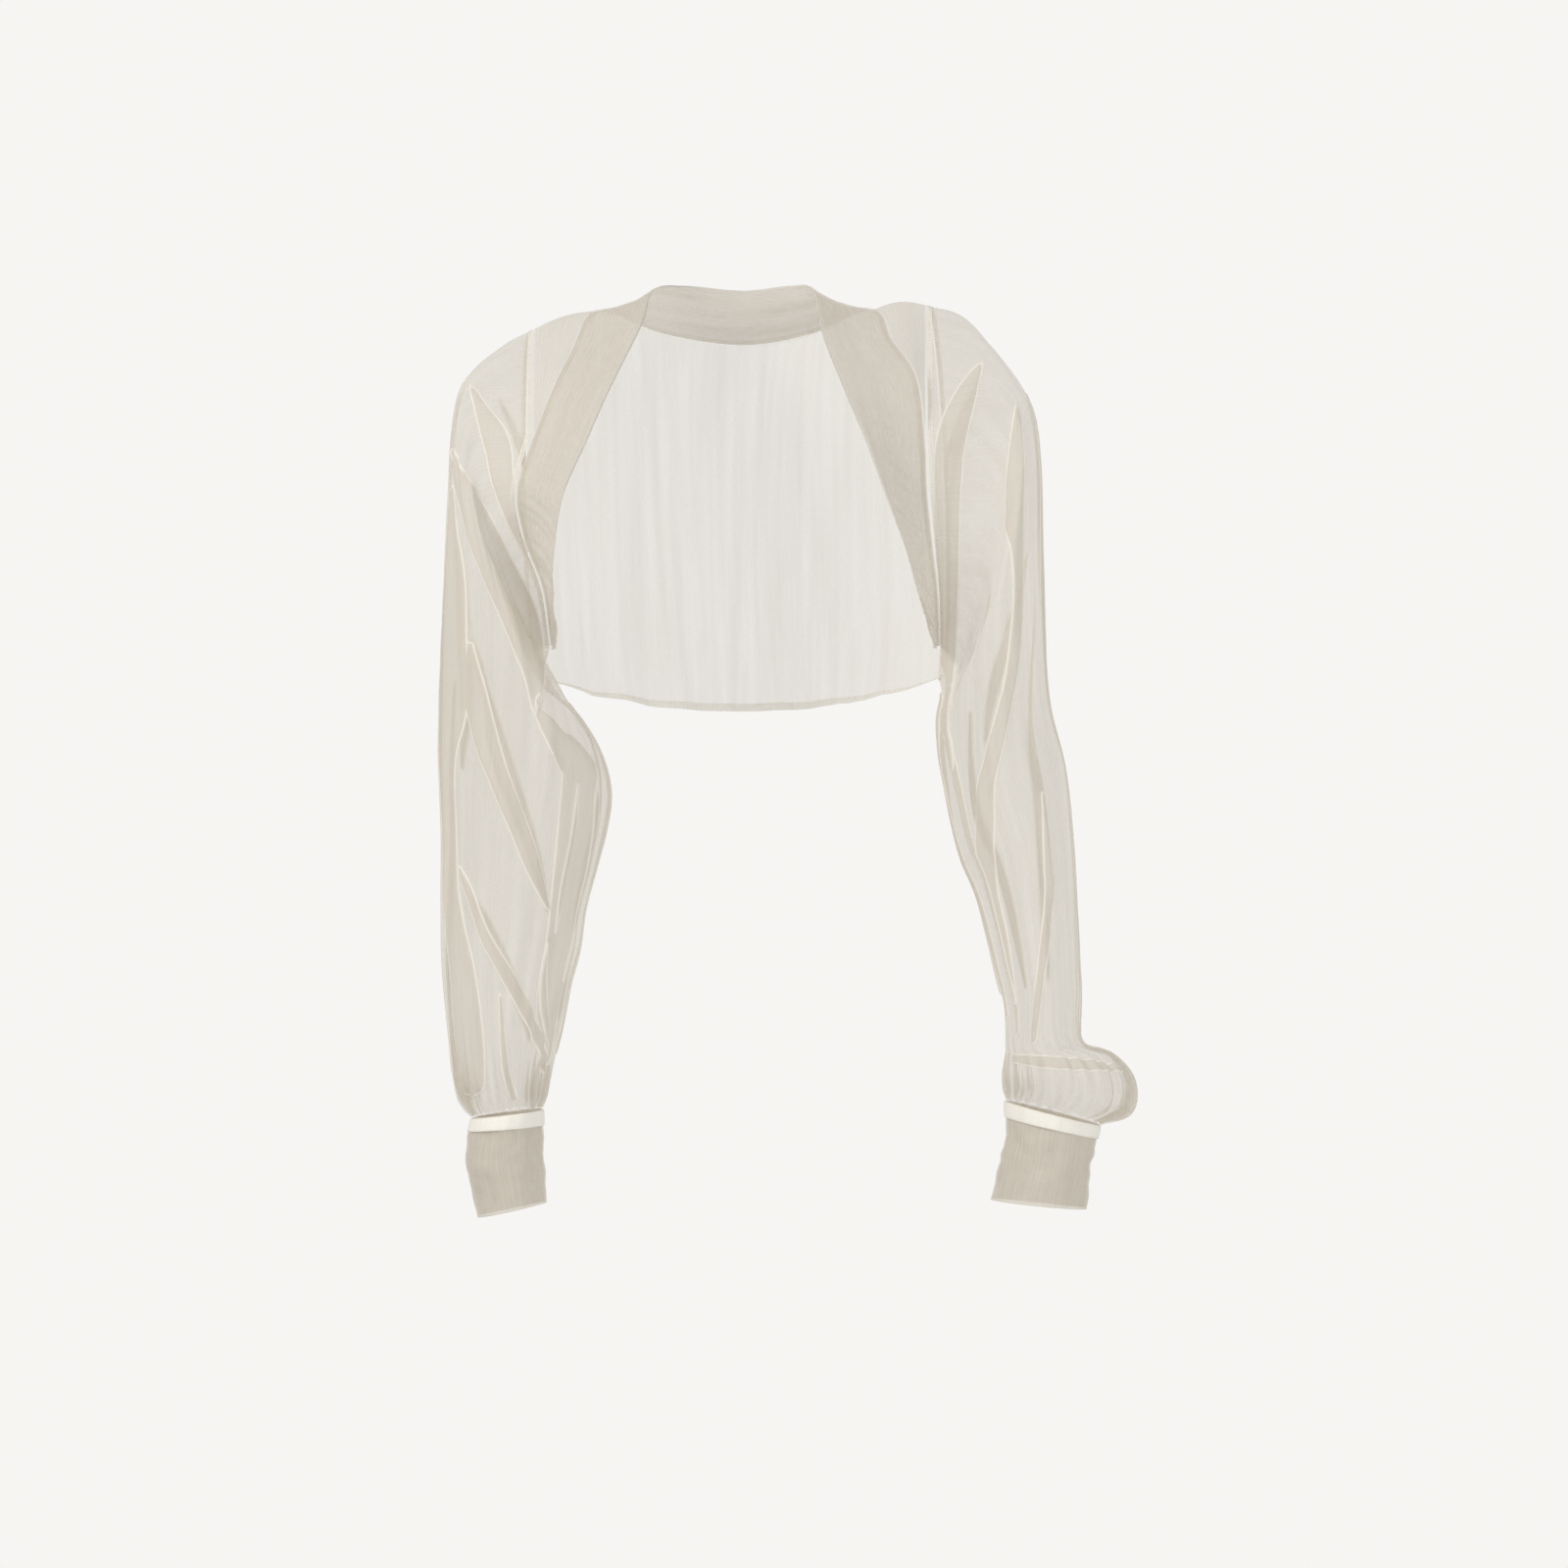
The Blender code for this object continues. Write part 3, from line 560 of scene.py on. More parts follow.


# %% [markdown]
# ## Pleats pressed flat
#
# The pale stripes on the sleeves are places where the cloth has folded over itself and lies flat. A lap
# stands for each: a slightly raised stretch that the shader makes denser, with the fold itself as a thin pale
# line of painted highlight. A lap is a short table. It holds x, z and width in millimetres where it is on the
# front or the back, and angle, section and width in millimetres where it is round at the sleeve's side. The
# angle runs round the sleeve in degrees: 0 outer, 90 front, 180 inner, 270 back. A lap marked hollow is on the
# front too, but it crosses the hollow beside the armhole, so its depth counts less. Laps of the first tables
# melt into one another where they meet; those of the second lie over them.

# %% Tables of laps
LAPS = {
    "right": (
        ("front", ((-202, -46, 2), (-191, -69, 12), (-181, -91, 20), (-175, -124, 16), (-166, -153, 11),
                   (-156, -175, 7), (-145, -197, 3))),
        ("hollow", ((-214, -96, 4), (-205, -124, 12), (-193, -153, 21), (-181, -182, 25), (-167, -212, 27),
                    (-159, -235, 24), (-154, -258, 18), (-152, -277, 10), (-152, -290, 3))),
        ("hollow", ((-152, -286, 4), (-144, -298, 11), (-134, -313, 17), (-126, -328, 18), (-120, -345, 8))),
        ("front", ((-215, -124, 4), (-212, -184, 19), (-212, -236, 22), (-212, -291, 22), (-217, -332, 15),
                   (-215, -403, 15), (-212, -440, 18), (-204, -496, 24), (-201, -534, 26), (-198, -562, 20))),
        ("front", ((-200, -241, 5), (-197, -270, 17), (-190, -303, 19), (-179, -336, 16), (-164, -374, 14),
                   (-154, -402, 12), (-147, -422, 7), (-143, -434, 3))),
        ("front", ((-207, -405, 3), (-201, -420, 6), (-188, -455, 8), (-173, -482, 10), (-158, -511, 9),
                   (-150, -533, 6), (-147, -555, 3))),
        ("front", ((-128, -312, 12), (-122, -325, 24), (-118, -340, 30), (-119, -372, 34),
                   (-127, -415, 28), (-133, -457, 25), (-142, -502, 20), (-145, -548, 7))),
        ("front", ((-177, -499, 3), (-174, -548, 5), (-168, -574, 5))),
        ("back", ((-184, -52, 2), (-172, -78, 7), (-162, -104, 9), (-154, -132, 7), (-148, -158, 2))),
        ("back", ((-214, -150, 3), (-210, -190, 10), (-208, -240, 13), (-207, -290, 11), (-210, -330, 4))),
        ("back", ((-192, -300, 3), (-182, -335, 7), (-168, -372, 6), (-158, -398, 3)))),
    "left": (
        ("front", ((178, -31, 3), (166, -55, 16), (155, -88, 22), (152, -124, 20), (152, -168, 18),
                   (152, -238, 16), (153, -290, 12), (157, -330, 5))),
        ("front", ((204, -62, 3), (203, -102, 12), (202, -142, 13), (204, -190, 9), (203, -226, 9),
                   (198, -266, 9), (189, -307, 11), (181, -343, 13), (180, -380, 15), (184, -416, 12),
                   (193, -449, 8), (199, -478, 5), (203, -504, 2))),
        ("front", ((222, -350, 3), (225, -402, 6), (226, -425, 7), (220, -482, 6), (215, -531, 5))),
        ("back", ((178, -40, 2), (166, -70, 10), (156, -110, 12), (152, -160, 12), (153, -215, 9),
                  (155, -250, 3))),
        ("back", ((214, -170, 3), (204, -220, 9), (190, -270, 8), (184, -310, 3))))}
UPPER_LAPS = {
    "right": (
        ("round", ((-6, 2.4, 4), (-8, 4.5, 9), (-3, 7.0, 11), (3, 9.6, 9), (8, 12.0, 4))),
        ("round", ((-32, 6.2, 4), (-27, 8.5, 9), (-18, 11.0, 7), (-10, 12.6, 4))),
        ("round", ((318, 5.2, 3), (290, 6.3, 12), (262, 7.4, 11), (240, 8.6, 3))),
        ("round", ((312, 8.6, 3), (286, 9.4, 9), (258, 10.6, 8), (244, 11.4, 3))),
        ("hollow", ((-143, -255, 1), (-146, -267, 3), (-150, -280, 3), (-152, -292, 1))),
        ("front", ((-122, -343, 1), (-126, -380, 4), (-134, -420, 4), (-139, -453, 1))),
        ("front", ((-110, -321, 1), (-110, -365, 4), (-116, -409, 5), (-125, -449, 3), (-133, -489, 1))),
        ("front", ((-144, -460, 1), (-147, -489, 4), (-147, -518, 4), (-144, -548, 1))),
        ("round", ((184, 2.4, 4), (186, 4.4, 12), (189, 6.8, 14), (186, 9.2, 10), (180, 11.6, 5))),
        ("round", ((210, 3.2, 4), (212, 5.4, 10), (209, 8.0, 11), (202, 10.8, 5)))),
    "left": (
        ("round", ((22, 2.6, 3), (17, 4.2, 8), (19, 6.4, 9), (16, 8.6, 8), (14, 10.6, 4))),
        ("round", ((330, 5.4, 3), (306, 7.2, 10), (290, 9.0, 10), (284, 10.8, 3))),
        ("round", ((244, 4.8, 3), (238, 6.8, 10), (246, 9.0, 9), (252, 10.8, 3))),
        ("round", ((-4, 3.0, 4), (-8, 5.6, 10), (-10, 8.0, 10), (-6, 10.8, 6), (0, 11.8, 4))),
        ("round", ((160, 2.0, 4), (151, 3.6, 11), (145, 5.4, 13), (143, 7.6, 12), (139, 9.8, 9),
                   (135, 11.6, 4))),
        ("round", ((180, 1.8, 4), (174, 3.8, 13), (170, 6.2, 14), (167, 8.6, 11), (160, 11.2, 5))),
        ("round", ((200, 2.4, 4), (196, 4.8, 12), (192, 7.6, 12), (186, 10.6, 5))),
        ("round", ((28, 13.6, 5), (70, 13.4, 9), (110, 13.3, 9), (150, 13.2, 6))))}
LAP_LIFT = 0.0016
DEPTH_SHARE = {"front": 0.45, "back": 0.45, "hollow": 0.12, "round": 1}
BEHIND_FREE = 0.1
BEHIND_PENALTY = 0.08
PATH_POINTS_PER_ROW = 6
DEPTH_POINTS = 12
DEPTH_SMOOTHING = 9
LAP_ROLL = 0.004
FAR_OUTSIDE = -0.02
SEAM_CLEAR = 0.012
FORM_STEP = 0.01

# %% Lay a sleeve's laps


def sleeve_normals(side, station, angle):
    """Directions straight out of the sleeve."""
    by_station = sleeve_form(side, station + FORM_STEP, angle) - sleeve_form(side, station - FORM_STEP, angle)
    by_angle = sleeve_form(side, station, angle + FORM_STEP) - sleeve_form(side, station, angle - FORM_STEP)
    return unit(np.cross(by_station, by_angle)) * -OUTWARD[side]


def path_distance(points, path):
    """Distance from points to a path, and the place along the path that is nearest."""
    nearest = np.full(points.shape[:2], np.inf)
    place = np.zeros(points.shape[:2])
    for number in range(len(path) - 1):
        step = path[number + 1] - path[number]
        share = np.clip(((points - path[number]) @ step) / max(step @ step, TINY), 0, 1)
        away = np.linalg.norm(points - path[number] - share[..., None] * step, axis=-1)
        closer = away < nearest
        place = np.where(closer, number + share, place)
        nearest = np.where(closer, away, nearest)
    return nearest, place


def lap_path(side, where, rows, points, facing):
    """Places on the sleeve along a lap's table."""
    path = along(rows, np.linspace(0, len(rows) - 1, PATH_POINTS_PER_ROW * len(rows)))
    width = path[:, 2] / 1000
    if where == "round":
        return sleeve_form(side, path[:, 1], np.radians(path[:, 0])), width
    near = points[facing < 0 if where == "back" else facing > 0]
    depth = []
    for x, z in path[:, :2] / 1000:
        away = np.hypot(near[:, 0] - x, near[:, 2] - z)
        close = np.argsort(away)[:DEPTH_POINTS]
        depth.append(near[close, 1].mean())
    padded = np.pad(depth, DEPTH_SMOOTHING // 2, mode="edge")
    depth = np.convolve(padded, np.full(DEPTH_SMOOTHING, 1 / DEPTH_SMOOTHING), mode="valid")
    return np.stack((path[:, 0] / 1000, depth, path[:, 1] / 1000), axis=-1), width


def lap_inside(side, points, facing, laps):
    """How far inside the nearest lap each point lies, below 0 outside. Facing is above 0 on the front."""
    inside = np.full(facing.shape, FAR_OUTSIDE)
    for where, rows in laps:
        path, width = lap_path(side, where, rows, points, facing)
        shrink = np.array((1, DEPTH_SHARE[where], 1))
        nearest, place = path_distance(points * shrink, path * shrink)
        if where == "hollow":
            nearest = nearest + BEHIND_PENALTY * np.maximum(-facing - BEHIND_FREE, 0)
        inside = np.maximum(inside, np.interp(place, np.arange(len(path)), width) / 2 - nearest)
    return inside


def edge_mark(inside):
    """The mark that the cloth's shader reads: millimetres inside, counted from EDGE_MARK at the edge."""
    return np.clip(EDGE_MARK + inside * 1000, 0, EDGE_MARK + LAP_FADE)


# %% [markdown]
# ## Gathers and fine creases
#
# At each cuff the wide sleeve end is drawn in to the wrist, which leaves many small, uneven gathers that run
# up and fade out. The sleeve head has a few shallow ones. The rest of the sleeve carries long, faint creases.
# They are sums of waves with seeded, uneven spacing, so that no two are alike and every run gives the same.

# %% Gathers and creases
GATHERS = 27
GATHER_HEIGHT = 0.0034
GATHER_SEAM_HEIGHT = 0.0010
GATHER_PEAK = 0.014
GATHER_REACH = 0.105
GATHER_SLANT = 14
GATHER_SPACING = ((1.1, 2, 0), (0.9, 5, 1))
GATHER_UNEVENNESS = ((0.35, 3, 1), (0.25, 8, 2))
HEAD_GATHERS = 19
HEAD_GATHER_HEIGHT = 0.0014
HEAD_GATHER_REACH = 0.055
HEAD_GATHER_START = 0.014
HEAD_GATHER_SPACING = ((1.2, 3, 0),)
CREASE_HEIGHT = 0.0012
CREASE_START = 0.03
CREASE_WAVES = 26
CREASE_SLANT = 22
CREASE_SHARES = (0.4, 1)
CREASE_SWING = 0.9
CREASE_SWINGS_PER_METRE = 9


def creases(angle, length, seed, low=5, high=24):
    """Relief of long faint creases, from -1 to 1 or so. Its waves slant in radians per metre."""
    chance = np.random.default_rng(seed)
    counts = chance.integers(low, high, CREASE_WAVES)
    spans = ((-CREASE_SLANT, CREASE_SLANT), (0, 2 * math.pi), CREASE_SHARES)
    slants, phases, shares = (chance.uniform(*span, CREASE_WAVES) for span in spans)
    relief = np.zeros_like(angle)
    for count, slant, phase, share in zip(counts, slants, phases, shares):
        swing = CREASE_SWING * np.sin(length * CREASE_SWINGS_PER_METRE + phase * 3)
        relief = relief + share * np.cos(count * angle + slant * length + phase + swing)
    return relief / math.sqrt(CREASE_WAVES)


def ripple(angle, waves):
    """Sum of waves round the sleeve, each with its height, count and phase."""
    return sum(height * np.sin(count * angle + phase) for height, count, phase in waves)


def gathers(side, angle, length):
    """Height of the gathers at the cuff and at the sleeve head."""
    above = station_lengths(side)[-1] - length
    reach = GATHER_REACH * (0.72 + 0.28 * np.sin(7 * angle + 1.3) * np.sin(3 * angle))
    rise = smooth_step(above / GATHER_PEAK)
    fall = (1 - smooth_step((above - GATHER_PEAK) / (reach - GATHER_PEAK))) ** 1.4
    height = (GATHER_SEAM_HEIGHT + (GATHER_HEIGHT - GATHER_SEAM_HEIGHT) * rise) * fall
    uneven = 0.8 + ripple(angle, GATHER_UNEVENNESS)
    wave = np.cos(GATHERS * angle + ripple(angle, GATHER_SPACING) + GATHER_SLANT * above)
    sharp = np.sign(wave) * np.abs(wave) ** 0.8
    near_head = (1 - smooth_step(length / HEAD_GATHER_REACH)) * smooth_step(length / HEAD_GATHER_START)
    top = 0.5 + 0.5 * np.cos(angle)
    head = np.cos(HEAD_GATHERS * angle + ripple(angle, HEAD_GATHER_SPACING))
    return height * uneven * sharp + HEAD_GATHER_HEIGHT * near_head * top * head


# %% [markdown]
# ## The sleeves
#
# A sleeve is one panel sewn into a tube. Its plain form comes first. Laps, gathers and creases only say how
# far each point moves straight out of it, so each kind can be changed on its own. The creases and the laps
# fade out at the armhole seam, which stays smooth.

# %% Make the sleeves
SLEEVE_RINGS = 300
SLEEVE_COLUMNS = 248
ARMHOLE_GAP = 0.0006
CUFF_GAP = 0.0006
CREASE_SEED = {"right": 4, "left": 9}


def sleeve_points(side):
    """Rings of points down a sleeve with its laps, gathers and creases, and its marks."""
    last = len(SLEEVE[side]) - 1
    lengths = station_lengths(side)
    reach = np.linspace(ARMHOLE_GAP, lengths[-1] - CUFF_GAP, SLEEVE_RINGS + 1)
    stations = np.interp(reach, lengths, np.arange(last + 1))
    angles = np.linspace(0, 2 * math.pi, SLEEVE_COLUMNS + 1)
    station, angle = np.meshgrid(stations, angles, indexing="ij")
    length = np.interp(station, np.arange(last + 1), lengths)
    form = sleeve_form(side, station, angle)
    lapped = lap_inside(side, form, np.sin(angle), LAPS[side])
    overlapped = lap_inside(side, form, np.sin(angle), UPPER_LAPS[side])
    relief = gathers(side, angle, length)
    for laid in (lapped, overlapped):
        relief = relief + LAP_LIFT * smooth_step(laid / LAP_ROLL + 0.5) * smooth_step(length / SEAM_CLEAR)
    fine = creases(angle, length, CREASE_SEED[side])
    relief = relief + CREASE_HEIGHT * fine * smooth_step(length / CREASE_START)
    points = form + sleeve_normals(side, station, angle) * relief[..., None]
    points[:, -1] = points[:, 0]
    return points, {"lap": edge_mark(lapped), "overlap": edge_mark(overlapped)}


sleeve_grids = {}
for side in SIDES:
    sleeve_grids[side], sleeve_marks = sleeve_points(side)
    cloth_sheet(f"sleeve_cloth_{side}", sleeve_grids[side], chiffon, "chiffon",
                                      f"sleeve_{side}", closed=True, **sleeve_marks)

# %% [markdown]
# ## The back and the yokes
#
# The back is one panel from the shoulder seams to a plain hem. The two small yokes fill the shoulder between
# the neck band and the armhole. Both are laid out exactly as their solids are, only finer, so that no seam
# opens.

# %% Form of the back and the yokes
CENTRE_BACK = np.array((
    (84, -12), (97, -55), (107, -105), (113, -160), (114, -210), (113, -250), (111, -288))) / 1000
BACK_ROUNDNESS = 2.3
TOP_DECAY = 3.5
NECK_SHARE = 0.17
SHOULDER_RISE = {"right": 0.003, "left": 0.004}
SEAM_GAP = 0.0006
LARGEST_GAP_SHARE = 0.4
BACK_ROWS = 150
SHOULDER_COLUMNS = 26
BACK_NECK_COLUMNS = 60
YOKE_ROWS = 60
YOKE_COLUMNS = 30
YOKE_TIP = 0.985
BACK_LENGTH = 0.3
BACK_TOP_FADE = 0.12
BACK_FOLD_HEIGHT = 0.0032
BACK_CREASE_HEIGHT = 0.00072


def shoulder_line(side, share):
    """Shoulder seam from the shoulder tip (0) to the neck band (1)."""
    tip = sleeve_section(side, np.array(0.0), np.array(0.0))
    neck = band_seam(side, SHOULDER_STATION)
    share = np.asarray(share, dtype=float)[..., None]
    rise = np.array((0, 0, SHOULDER_RISE[side]))
    return tip + (neck - tip) * share + rise * np.sin(math.pi * share)


def yoke_points(side):
    """Yoke between the band, the shoulder seam and the armhole, narrow at its lower tip."""
    meeting = BAND_MEETING[side]
    rows = np.linspace(0, YOKE_TIP, YOKE_ROWS + 1)
    seam = band_seam(side, SHOULDER_STATION + rows * (meeting - SHOULDER_STATION))
    arm = armhole(side, rows * YOKE_SHARE)
    width = np.linalg.norm(arm - seam, axis=-1, keepdims=True)
    gap = np.minimum(SEAM_GAP / width, LARGEST_GAP_SHARE)
    shares = np.linspace(0, 1, YOKE_COLUMNS + 1)
    place = gap + shares * (1 - 2 * gap)
    grid = seam[:, None] + (arm - seam)[:, None] * place[..., None]
    lift = shoulder_line(side, 1 - shares) - (seam[0] + (arm[0] - seam[0]) * shares[:, None])
    grid = grid + lift * ((1 - rows) ** 2)[:, None, None]
    grid[..., 1] -= YOKE_SWELL * np.sin(math.pi * shares) * np.sin(math.pi * rows)[:, None]
    return grid


def top_of_back():
    """Top edge of the back: shoulder seam, back neck seam, shoulder seam."""
    parts = []
    for side in SIDES:
        shoulder = shoulder_line(side, np.linspace(0, 1, SHOULDER_COLUMNS + 1))
        neck = band_seam(side, np.linspace(SHOULDER_STATION, 0, BACK_NECK_COLUMNS + 1)[1:])
        parts.append(np.concatenate((shoulder, neck)))
    return np.concatenate((parts[0], parts[1][-2::-1]))


def back_points():
    """Back panel: rows from armhole to armhole, from the neck and shoulders down to the hem."""
    down = np.linspace(0, 1, BACK_ROWS + 1)
    right = armhole("right", 1 - down / 2)
    left = armhole("left", 1 - down / 2)
    centre = along(CENTRE_BACK, down * (len(CENTRE_BACK) - 1))
    half = np.concatenate((np.linspace(0, NECK_SHARE, SHOULDER_COLUMNS + 1),
                           np.linspace(NECK_SHARE, 0.5, BACK_NECK_COLUMNS + 1)[1:]))
    shares = np.concatenate((half, 1 - half[-2::-1]))
    base = right[:, None] + (left - right)[:, None] * shares[None, :, None]
    weight = 1 - np.abs(2 * shares - 1) ** BACK_ROUNDNESS
    offset = np.stack((np.zeros_like(down), centre[:, 0] - (right[:, 1] + left[:, 1]) / 2,
                       centre[:, 1] - (right[:, 2] + left[:, 2]) / 2), axis=-1)
    grid = base + weight[None, :, None] * offset[:, None]
    correction = top_of_back() - grid[0]
    grid = grid + correction[None] * ((1 - down) ** TOP_DECAY)[:, None, None]
    across = shares[None, :] * 2 * math.pi
    down = down[:, None]
    inside = np.sin(math.pi * shares[None, :]) ** 0.6 * smooth_step(down / BACK_TOP_FADE)
    folds = creases(across, down * BACK_LENGTH, seed=21, low=2, high=9) * smooth_step(down * 1.3)
    fine = creases(across, down * BACK_LENGTH, seed=22, low=9, high=30)
    relief = (BACK_FOLD_HEIGHT * folds + BACK_CREASE_HEIGHT * fine) * inside
    return grid + sheet_normals(grid, False) * relief[..., None]


# %% Make the back and the yokes
back_sheet = back_points()
back = cloth_sheet("back_cloth", back_sheet, chiffon, "chiffon", "back")
for side in SIDES:
    cloth_sheet(f"yoke_cloth_{side}", yoke_points(side), band_chiffon, "chiffon",
                              f"front_{side}")

# %% [markdown]
# ## The neck band
#
# The band is a strip folded lengthwise: the fold is its free edge, and both raw edges go into the seam. So
# the sheet runs from the seam out to the fold and back again, a millimetre behind itself. It is soft, so it
# carries small puckers that get stronger towards the underarms, where it is pulled round the arm. The mark
# along the fold gives it a fine pale line of painted highlight.

# %% Make the neck band
BAND_ROWS = 420
BAND_COLUMNS = 18
BAND_CROWN = 0.0035
BAND_LAYER_GAP = 0.0005
BAND_SEAM_GAP = 0.0008
BAND_FOLD_LINE = 0.0017
PUCKER_HEIGHT = 0.0013
PUCKER_START = 0.45
PUCKER_RISE = 0.4


def band_strip():
    """Rows across the band from the right underarm over the nape to the left underarm, with their normals."""
    grids = []
    for side in SIDES:
        places = np.linspace(0, BAND_END_STATION, BAND_ROWS // 2 + 1)
        edge, seam = np.split(band_row(side, places), 2, axis=1)
        width = np.linalg.norm(edge - seam, axis=-1, keepdims=True)
        shares = np.linspace(0, 1, BAND_COLUMNS + 1)
        trimmed = seam + (edge - seam) * BAND_SEAM_GAP / width
        grid = trimmed[:, None] + (edge - trimmed)[:, None] * shares[None, :, None]
        grids.append(grid[::-1] if side == "right" else grid[1:])
    grid = np.concatenate(grids)
    normals = sheet_normals(grid, False)
    middle = len(grid) // 2
    if normals[middle, BAND_COLUMNS // 2, 1] > 0:
        normals = -normals
    return grid, normals


def band_points():
    """The band's sheet, from the seam out to the fold and back behind itself."""
    grid, normals = band_strip()
    rows = len(grid)
    shares = np.linspace(0, 1, BAND_COLUMNS + 1)[None, :]
    place = np.abs(np.linspace(-1, 1, rows))[:, None]
    turn = np.linspace(0, 2 * math.pi, rows)[:, None]
    lower = smooth_step((place - PUCKER_START) / PUCKER_RISE)
    crown = BAND_CROWN * np.sin(math.pi * shares)
    wave = creases(turn * 6 + shares * 1.5, shares * 0.05, seed=31, low=3, high=14)
    fine = creases(turn * 9 - shares * 3, shares * 0.05, seed=33, low=5, high=12)
    puckers = PUCKER_HEIGHT * ((0.35 + 0.9 * lower) * wave + (0.10 + 0.35 * lower) * fine)
    relief = crown + puckers * np.sin(math.pi * shares)
    front = grid + normals * (relief + BAND_LAYER_GAP)[..., None]
    behind = grid + normals * (relief - BAND_LAYER_GAP)[..., None]
    return np.concatenate((front, behind[:, ::-1][:, 1:]), axis=1)


band_sheet = band_points()
band = cloth_sheet("neck_band_cloth", band_sheet, band_chiffon, "doubled_chiffon", "neck_band",
                   lap=fold_mark(band_sheet, 1, BAND_COLUMNS, BAND_FOLD_LINE))

# %% [markdown]
# ## Cuffs and their bindings
#
# Each cuff is a deep doubled band: the sheet goes down the outside, folds at the wrist edge and comes back up
# inside. A narrow, opaque, cream strip covers the seam where the gathers enter the cuff.

# %% Cuff rows
# outer_x outer_z inner_x inner_z middle_y reach, from the sleeve's seam down
CUFF = in_metres({
    "right": (
        (-198.5, -589.5, -148.5, -583, -31, 33),
        (-202, -605, -148, -601, -31, 33.5),
        (-204.5, -626, -147, -619, -31, 33.5),
        (-199, -646, -146, -637, -31, 32.5),
        (-195, -664, -145, -653, -31, 31.5)),
    "left": (
        (264.5, -594.5, 196.5, -577, -31, 38.5),
        (261.5, -610, 196.5, -596, -31, 38),
        (259.5, -626, 193.5, -615, -31, 37),
        (257, -643, 189.5, -634, -31, 36),
        (255, -658, 185, -651, -31, 35))})

# %% Make the cuffs and the bindings
CUFF_COLUMNS = 160
CUFF_ROWS = 44
CUFF_LAYER_GAP = 0.0006
CUFF_FIRST_PLACE = 0.03
CUFF_WRINKLE_HEIGHT = 0.0013
CUFF_SLANT = 1.1
BINDING_DEPTH = 0.011
BINDING_DROP = 0.0012
BINDING_LIFT = 0.0016
BINDING_HALF_THICKNESS = 0.0008
BINDING_PROFILE_POINTS = 20
BINDING_STITCH_ROWS = (2, 8)
CUFF_FOLD_LINE = 0.0028


def cuff_rings(side, place, lift):
    """Rings of points on the cuff, moved out by lift."""
    outer_x, outer_z, inner_x, inner_z, middle_y, reach = np.moveaxis(along(CUFF[side], place), -1, 0)
    angles = np.linspace(0, 2 * math.pi, CUFF_COLUMNS + 1)
    half_x = (outer_x - inner_x) / 2
    half_z = (outer_z - inner_z) / 2
    stretch = 1 + lift / np.hypot(half_x, half_z)
    x = (outer_x + inner_x) / 2 + half_x * stretch * np.cos(angles)
    z = (outer_z + inner_z) / 2 + half_z * stretch * np.cos(angles)
    y = middle_y - (reach + lift) * np.sin(angles)
    return np.stack((x, y, z), axis=-1)


def cuff_points(side):
    """The cuff's sheet, down the outside and up the inside."""
    last = len(CUFF[side]) - 1
    place, angle = np.meshgrid(np.linspace(CUFF_FIRST_PLACE, last, CUFF_ROWS + 1),
                               np.linspace(0, 2 * math.pi, CUFF_COLUMNS + 1), indexing="ij")
    slant = place / last * CUFF_SLANT
    broad = creases(angle, slant, seed=41 + OUTWARD[side], low=1, high=5)
    bend = broad + 0.5 * creases(angle, slant, seed=47, low=6, high=11)
    wrinkle = CUFF_WRINKLE_HEIGHT * bend * np.sin(math.pi * place / last) ** 1.1
    points = np.concatenate((cuff_rings(side, place, wrinkle + CUFF_LAYER_GAP),
                             cuff_rings(side, place, wrinkle - CUFF_LAYER_GAP)[::-1]))
    points[:, -1] = points[:, 0]
    return points


def binding_points(side):
    """Closed strip with a soft, crowned profile round the cuff's top."""
    table = CUFF[side]
    section = abs(table[1, 1] + table[1, 3] - table[0, 1] - table[0, 3]) / 2
    turns = np.linspace(0, 2 * math.pi, BINDING_PROFILE_POINTS + 1)[:, None]
    down = 0.5 - 0.5 * np.sign(np.cos(turns)) * np.abs(np.cos(turns)) ** 0.5
    depth = BINDING_DROP + BINDING_DEPTH * down
    points = cuff_rings(side, depth / section, BINDING_LIFT + BINDING_HALF_THICKNESS * np.sin(turns))
    points[:, -1] = points[:, 0]
    points[-1] = points[0]
    return points


binding_sheets = {}
for side in SIDES:
    cuff_sheet = cuff_points(side)
    # The lap mark along the wrist fold gives the cuff a pale line of painted highlight there.
    cloth_sheet(f"cuff_cloth_{side}", cuff_sheet, band_chiffon, "doubled_chiffon",
                              f"cuff_{side}", closed=True,
                              lap=fold_mark(cuff_sheet, 0, CUFF_ROWS, CUFF_FOLD_LINE))
    binding_sheets[side] = binding_points(side)
    cloth_sheet(f"binding_strip_{side}", binding_sheets[side], cream_binding, "binding",
                                 f"cuff_binding_{side}", closed=True)

# %% [markdown]
# ## Seams and hems
#
# Where two panels meet, their edges are turned and stitched down inside. On sheer cloth these allowances show
# as narrow pale lines, so each is a real strip that lies on the cloth.

# %% Make the seam strips and hems
SEAM_WIDTH = 0.0038
SEAM_LIFT = 0.0005
HEM_WIDTH = 0.008
STRIP_COLUMNS = 4


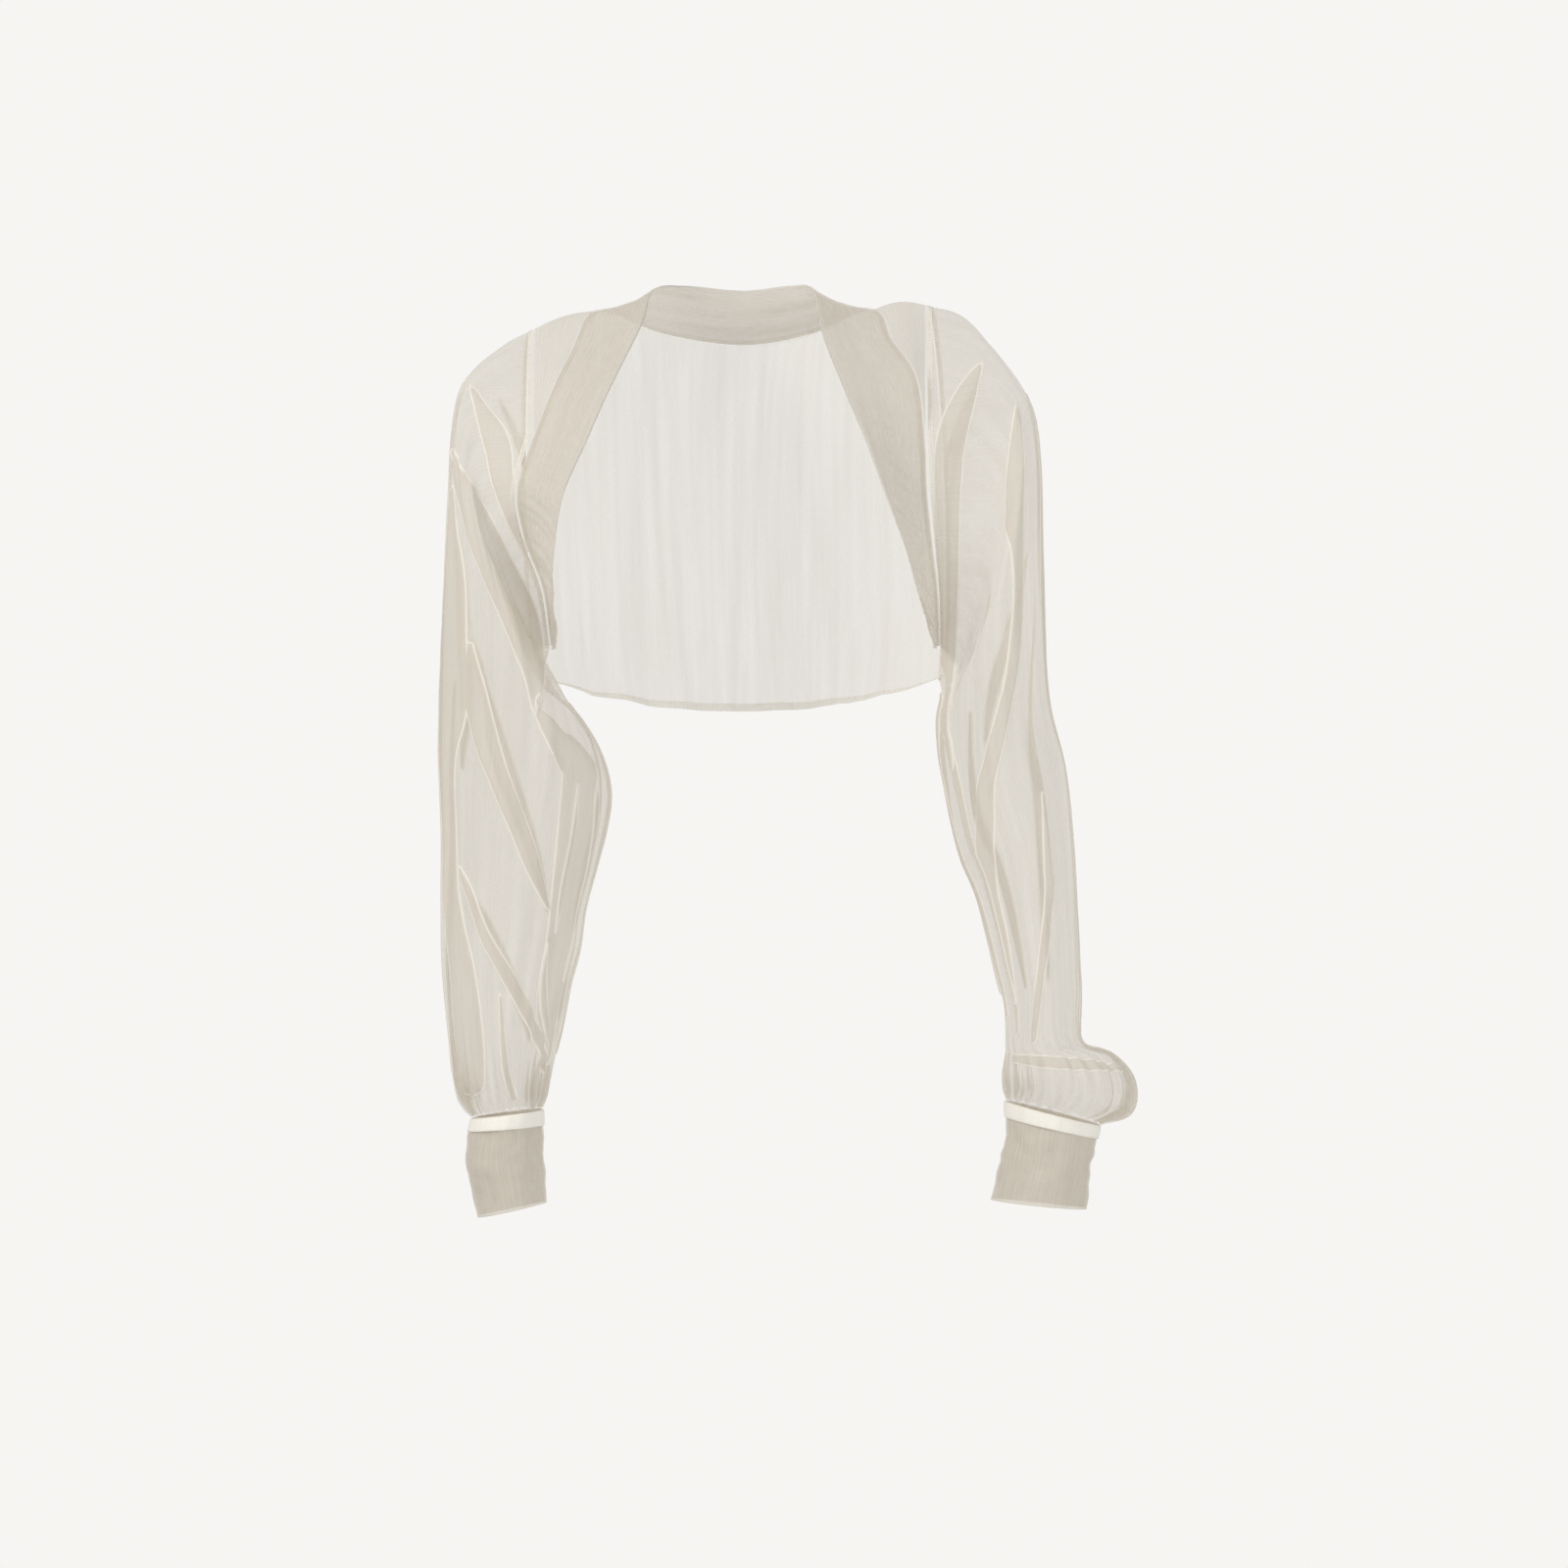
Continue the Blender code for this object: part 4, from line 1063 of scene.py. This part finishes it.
def armhole_strip(side):
    """Strip of an even width on the sleeve's upper edge, all the way round."""
    points = sleeve_grids[side]
    normals = sheet_normals(points, True)
    outward = np.sign(((points[2] - points[2].mean(axis=0)) * normals[2]).sum())
    reach = distance_along(points)
    rows = []
    for target in np.linspace(0, SEAM_WIDTH, STRIP_COLUMNS + 1):
        low = np.clip((reach < target).sum(axis=0) - 1, 0, len(points) - 2)[None]
        begun = np.take_along_axis(reach, low, 0)
        share = (target - begun) / (np.take_along_axis(reach, low + 1, 0) - begun)
        low = low[..., None]
        start = np.take_along_axis(points, low, 0)
        end = np.take_along_axis(points, low + 1, 0)
        lift = np.take_along_axis(normals, low, 0) * outward * SEAM_LIFT
        rows.append((start + (end - start) * share[..., None] + lift)[0])
    strip = np.stack(rows)
    strip[:, -1] = strip[:, 0]
    return strip


def band_seam_strip():
    """Allowance of the seam between the band and the panels, on the band."""
    grid, normals = band_strip()
    width = np.linalg.norm(grid[:, -1] - grid[:, 0], axis=-1)
    shares = np.linspace(0, 1, STRIP_COLUMNS + 1)[None, :] * (SEAM_WIDTH / width)[:, None]
    line = grid[:, :1] + (grid[:, -1:] - grid[:, :1]) * shares[..., None]
    relief = BAND_CROWN * np.sin(math.pi * shares) + BAND_LAYER_GAP + SEAM_LIFT
    return line + normals[:, :STRIP_COLUMNS + 1] * relief[..., None]


def back_hem_strip():
    """Turned hem along the back's lower edge, on its inside."""
    normals = sheet_normals(back_sheet, False)
    rows = max(3, round(HEM_WIDTH / distance_along(back_sheet)[-1].mean() * BACK_ROWS))
    inward = np.sign(normals[-1, back_sheet.shape[1] // 2, 1])
    return back_sheet[-1 - rows:] - normals[-1 - rows:] * inward * SEAM_LIFT


seam_sheets = {}
for side in SIDES:
    seam_sheets[side] = armhole_strip(side)
    cloth_sheet(f"armhole_seam_{side}", seam_sheets[side], seam_chiffon, "chiffon",
                                    closed=True)
band_seam_sheet = band_seam_strip()
band_allowance = cloth_sheet("band_seam", band_seam_sheet, seam_chiffon, "doubled_chiffon")
hem_sheet = back_hem_strip()
back_hem = cloth_sheet("back_hem", hem_sheet, seam_chiffon, "chiffon")

# %% [markdown]
# ## Stitches
#
# The seams are sewn with short, even stitches of cream thread. Each stitch is a small stretched ball of few
# faces that lies on the cloth, so a thousand of them stay light. One row of stitches is one piece.

# %% Sew the rows of stitches
STITCH_PITCH = 0.0030
STITCH_LENGTH = 0.0021
STITCH_THICKNESS = 0.00032
STITCH_LIFT = 0.0002
thread = woven_cloth("cream_thread", CREAM, cover=1.0, through=0.1, streak=0.0, roughness=0.55)


def stitch_row(name, points, row, slot):
    """Stitches along one row of a strip's points, lying on the strip's outer side."""
    normals = sheet_normals(points, False)
    outward = np.sign(((points - points.mean(axis=(0, 1))) * normals).sum())
    line = points[row]
    reach = distance_along(line)
    size = mathutils.Matrix.Diagonal((STITCH_LENGTH / 2, STITCH_THICKNESS / 2, STITCH_THICKNESS / 2, 1))
    stitches = bmesh.new()
    for place in np.arange(STITCH_PITCH, reach[-1] - STITCH_PITCH, STITCH_PITCH):
        number = min(int(np.searchsorted(reach, place)), len(line) - 1)
        step = line[number] - line[number - 1]
        share = (place - reach[number - 1]) / max(reach[number] - reach[number - 1], TINY)
        up = mathutils.Vector(normals[row, number] * outward) * STITCH_LIFT
        centre = mathutils.Matrix.Translation(mathutils.Vector(line[number - 1] + step * share) + up)
        turn = mathutils.Vector(step).normalized().to_track_quat("X", "Z").to_matrix().to_4x4()
        bmesh.ops.create_icosphere(stitches, subdivisions=1, radius=1, matrix=centre @ turn @ size)
    piece = mesh_object(name, stitches, thread)
    piece.data.shade_smooth()
    sew_in(piece, slot)
    print(f"{name}: {len(piece.data.polygons)} faces, {reach[-1]:.3f} m long")


for side in SIDES:
    stitch_row(f"armhole_stitches_{side}", seam_sheets[side], 2, "chiffon")
    for row in BINDING_STITCH_ROWS:
        stitch_row(f"binding_stitches_{side}_{row}", binding_sheets[side], row, "binding")
stitch_row("back_hem_stitches", hem_sheet, 1, "chiffon")
stitch_row("band_stitches", band_seam_sheet.transpose(1, 0, 2), 2, "doubled_chiffon")
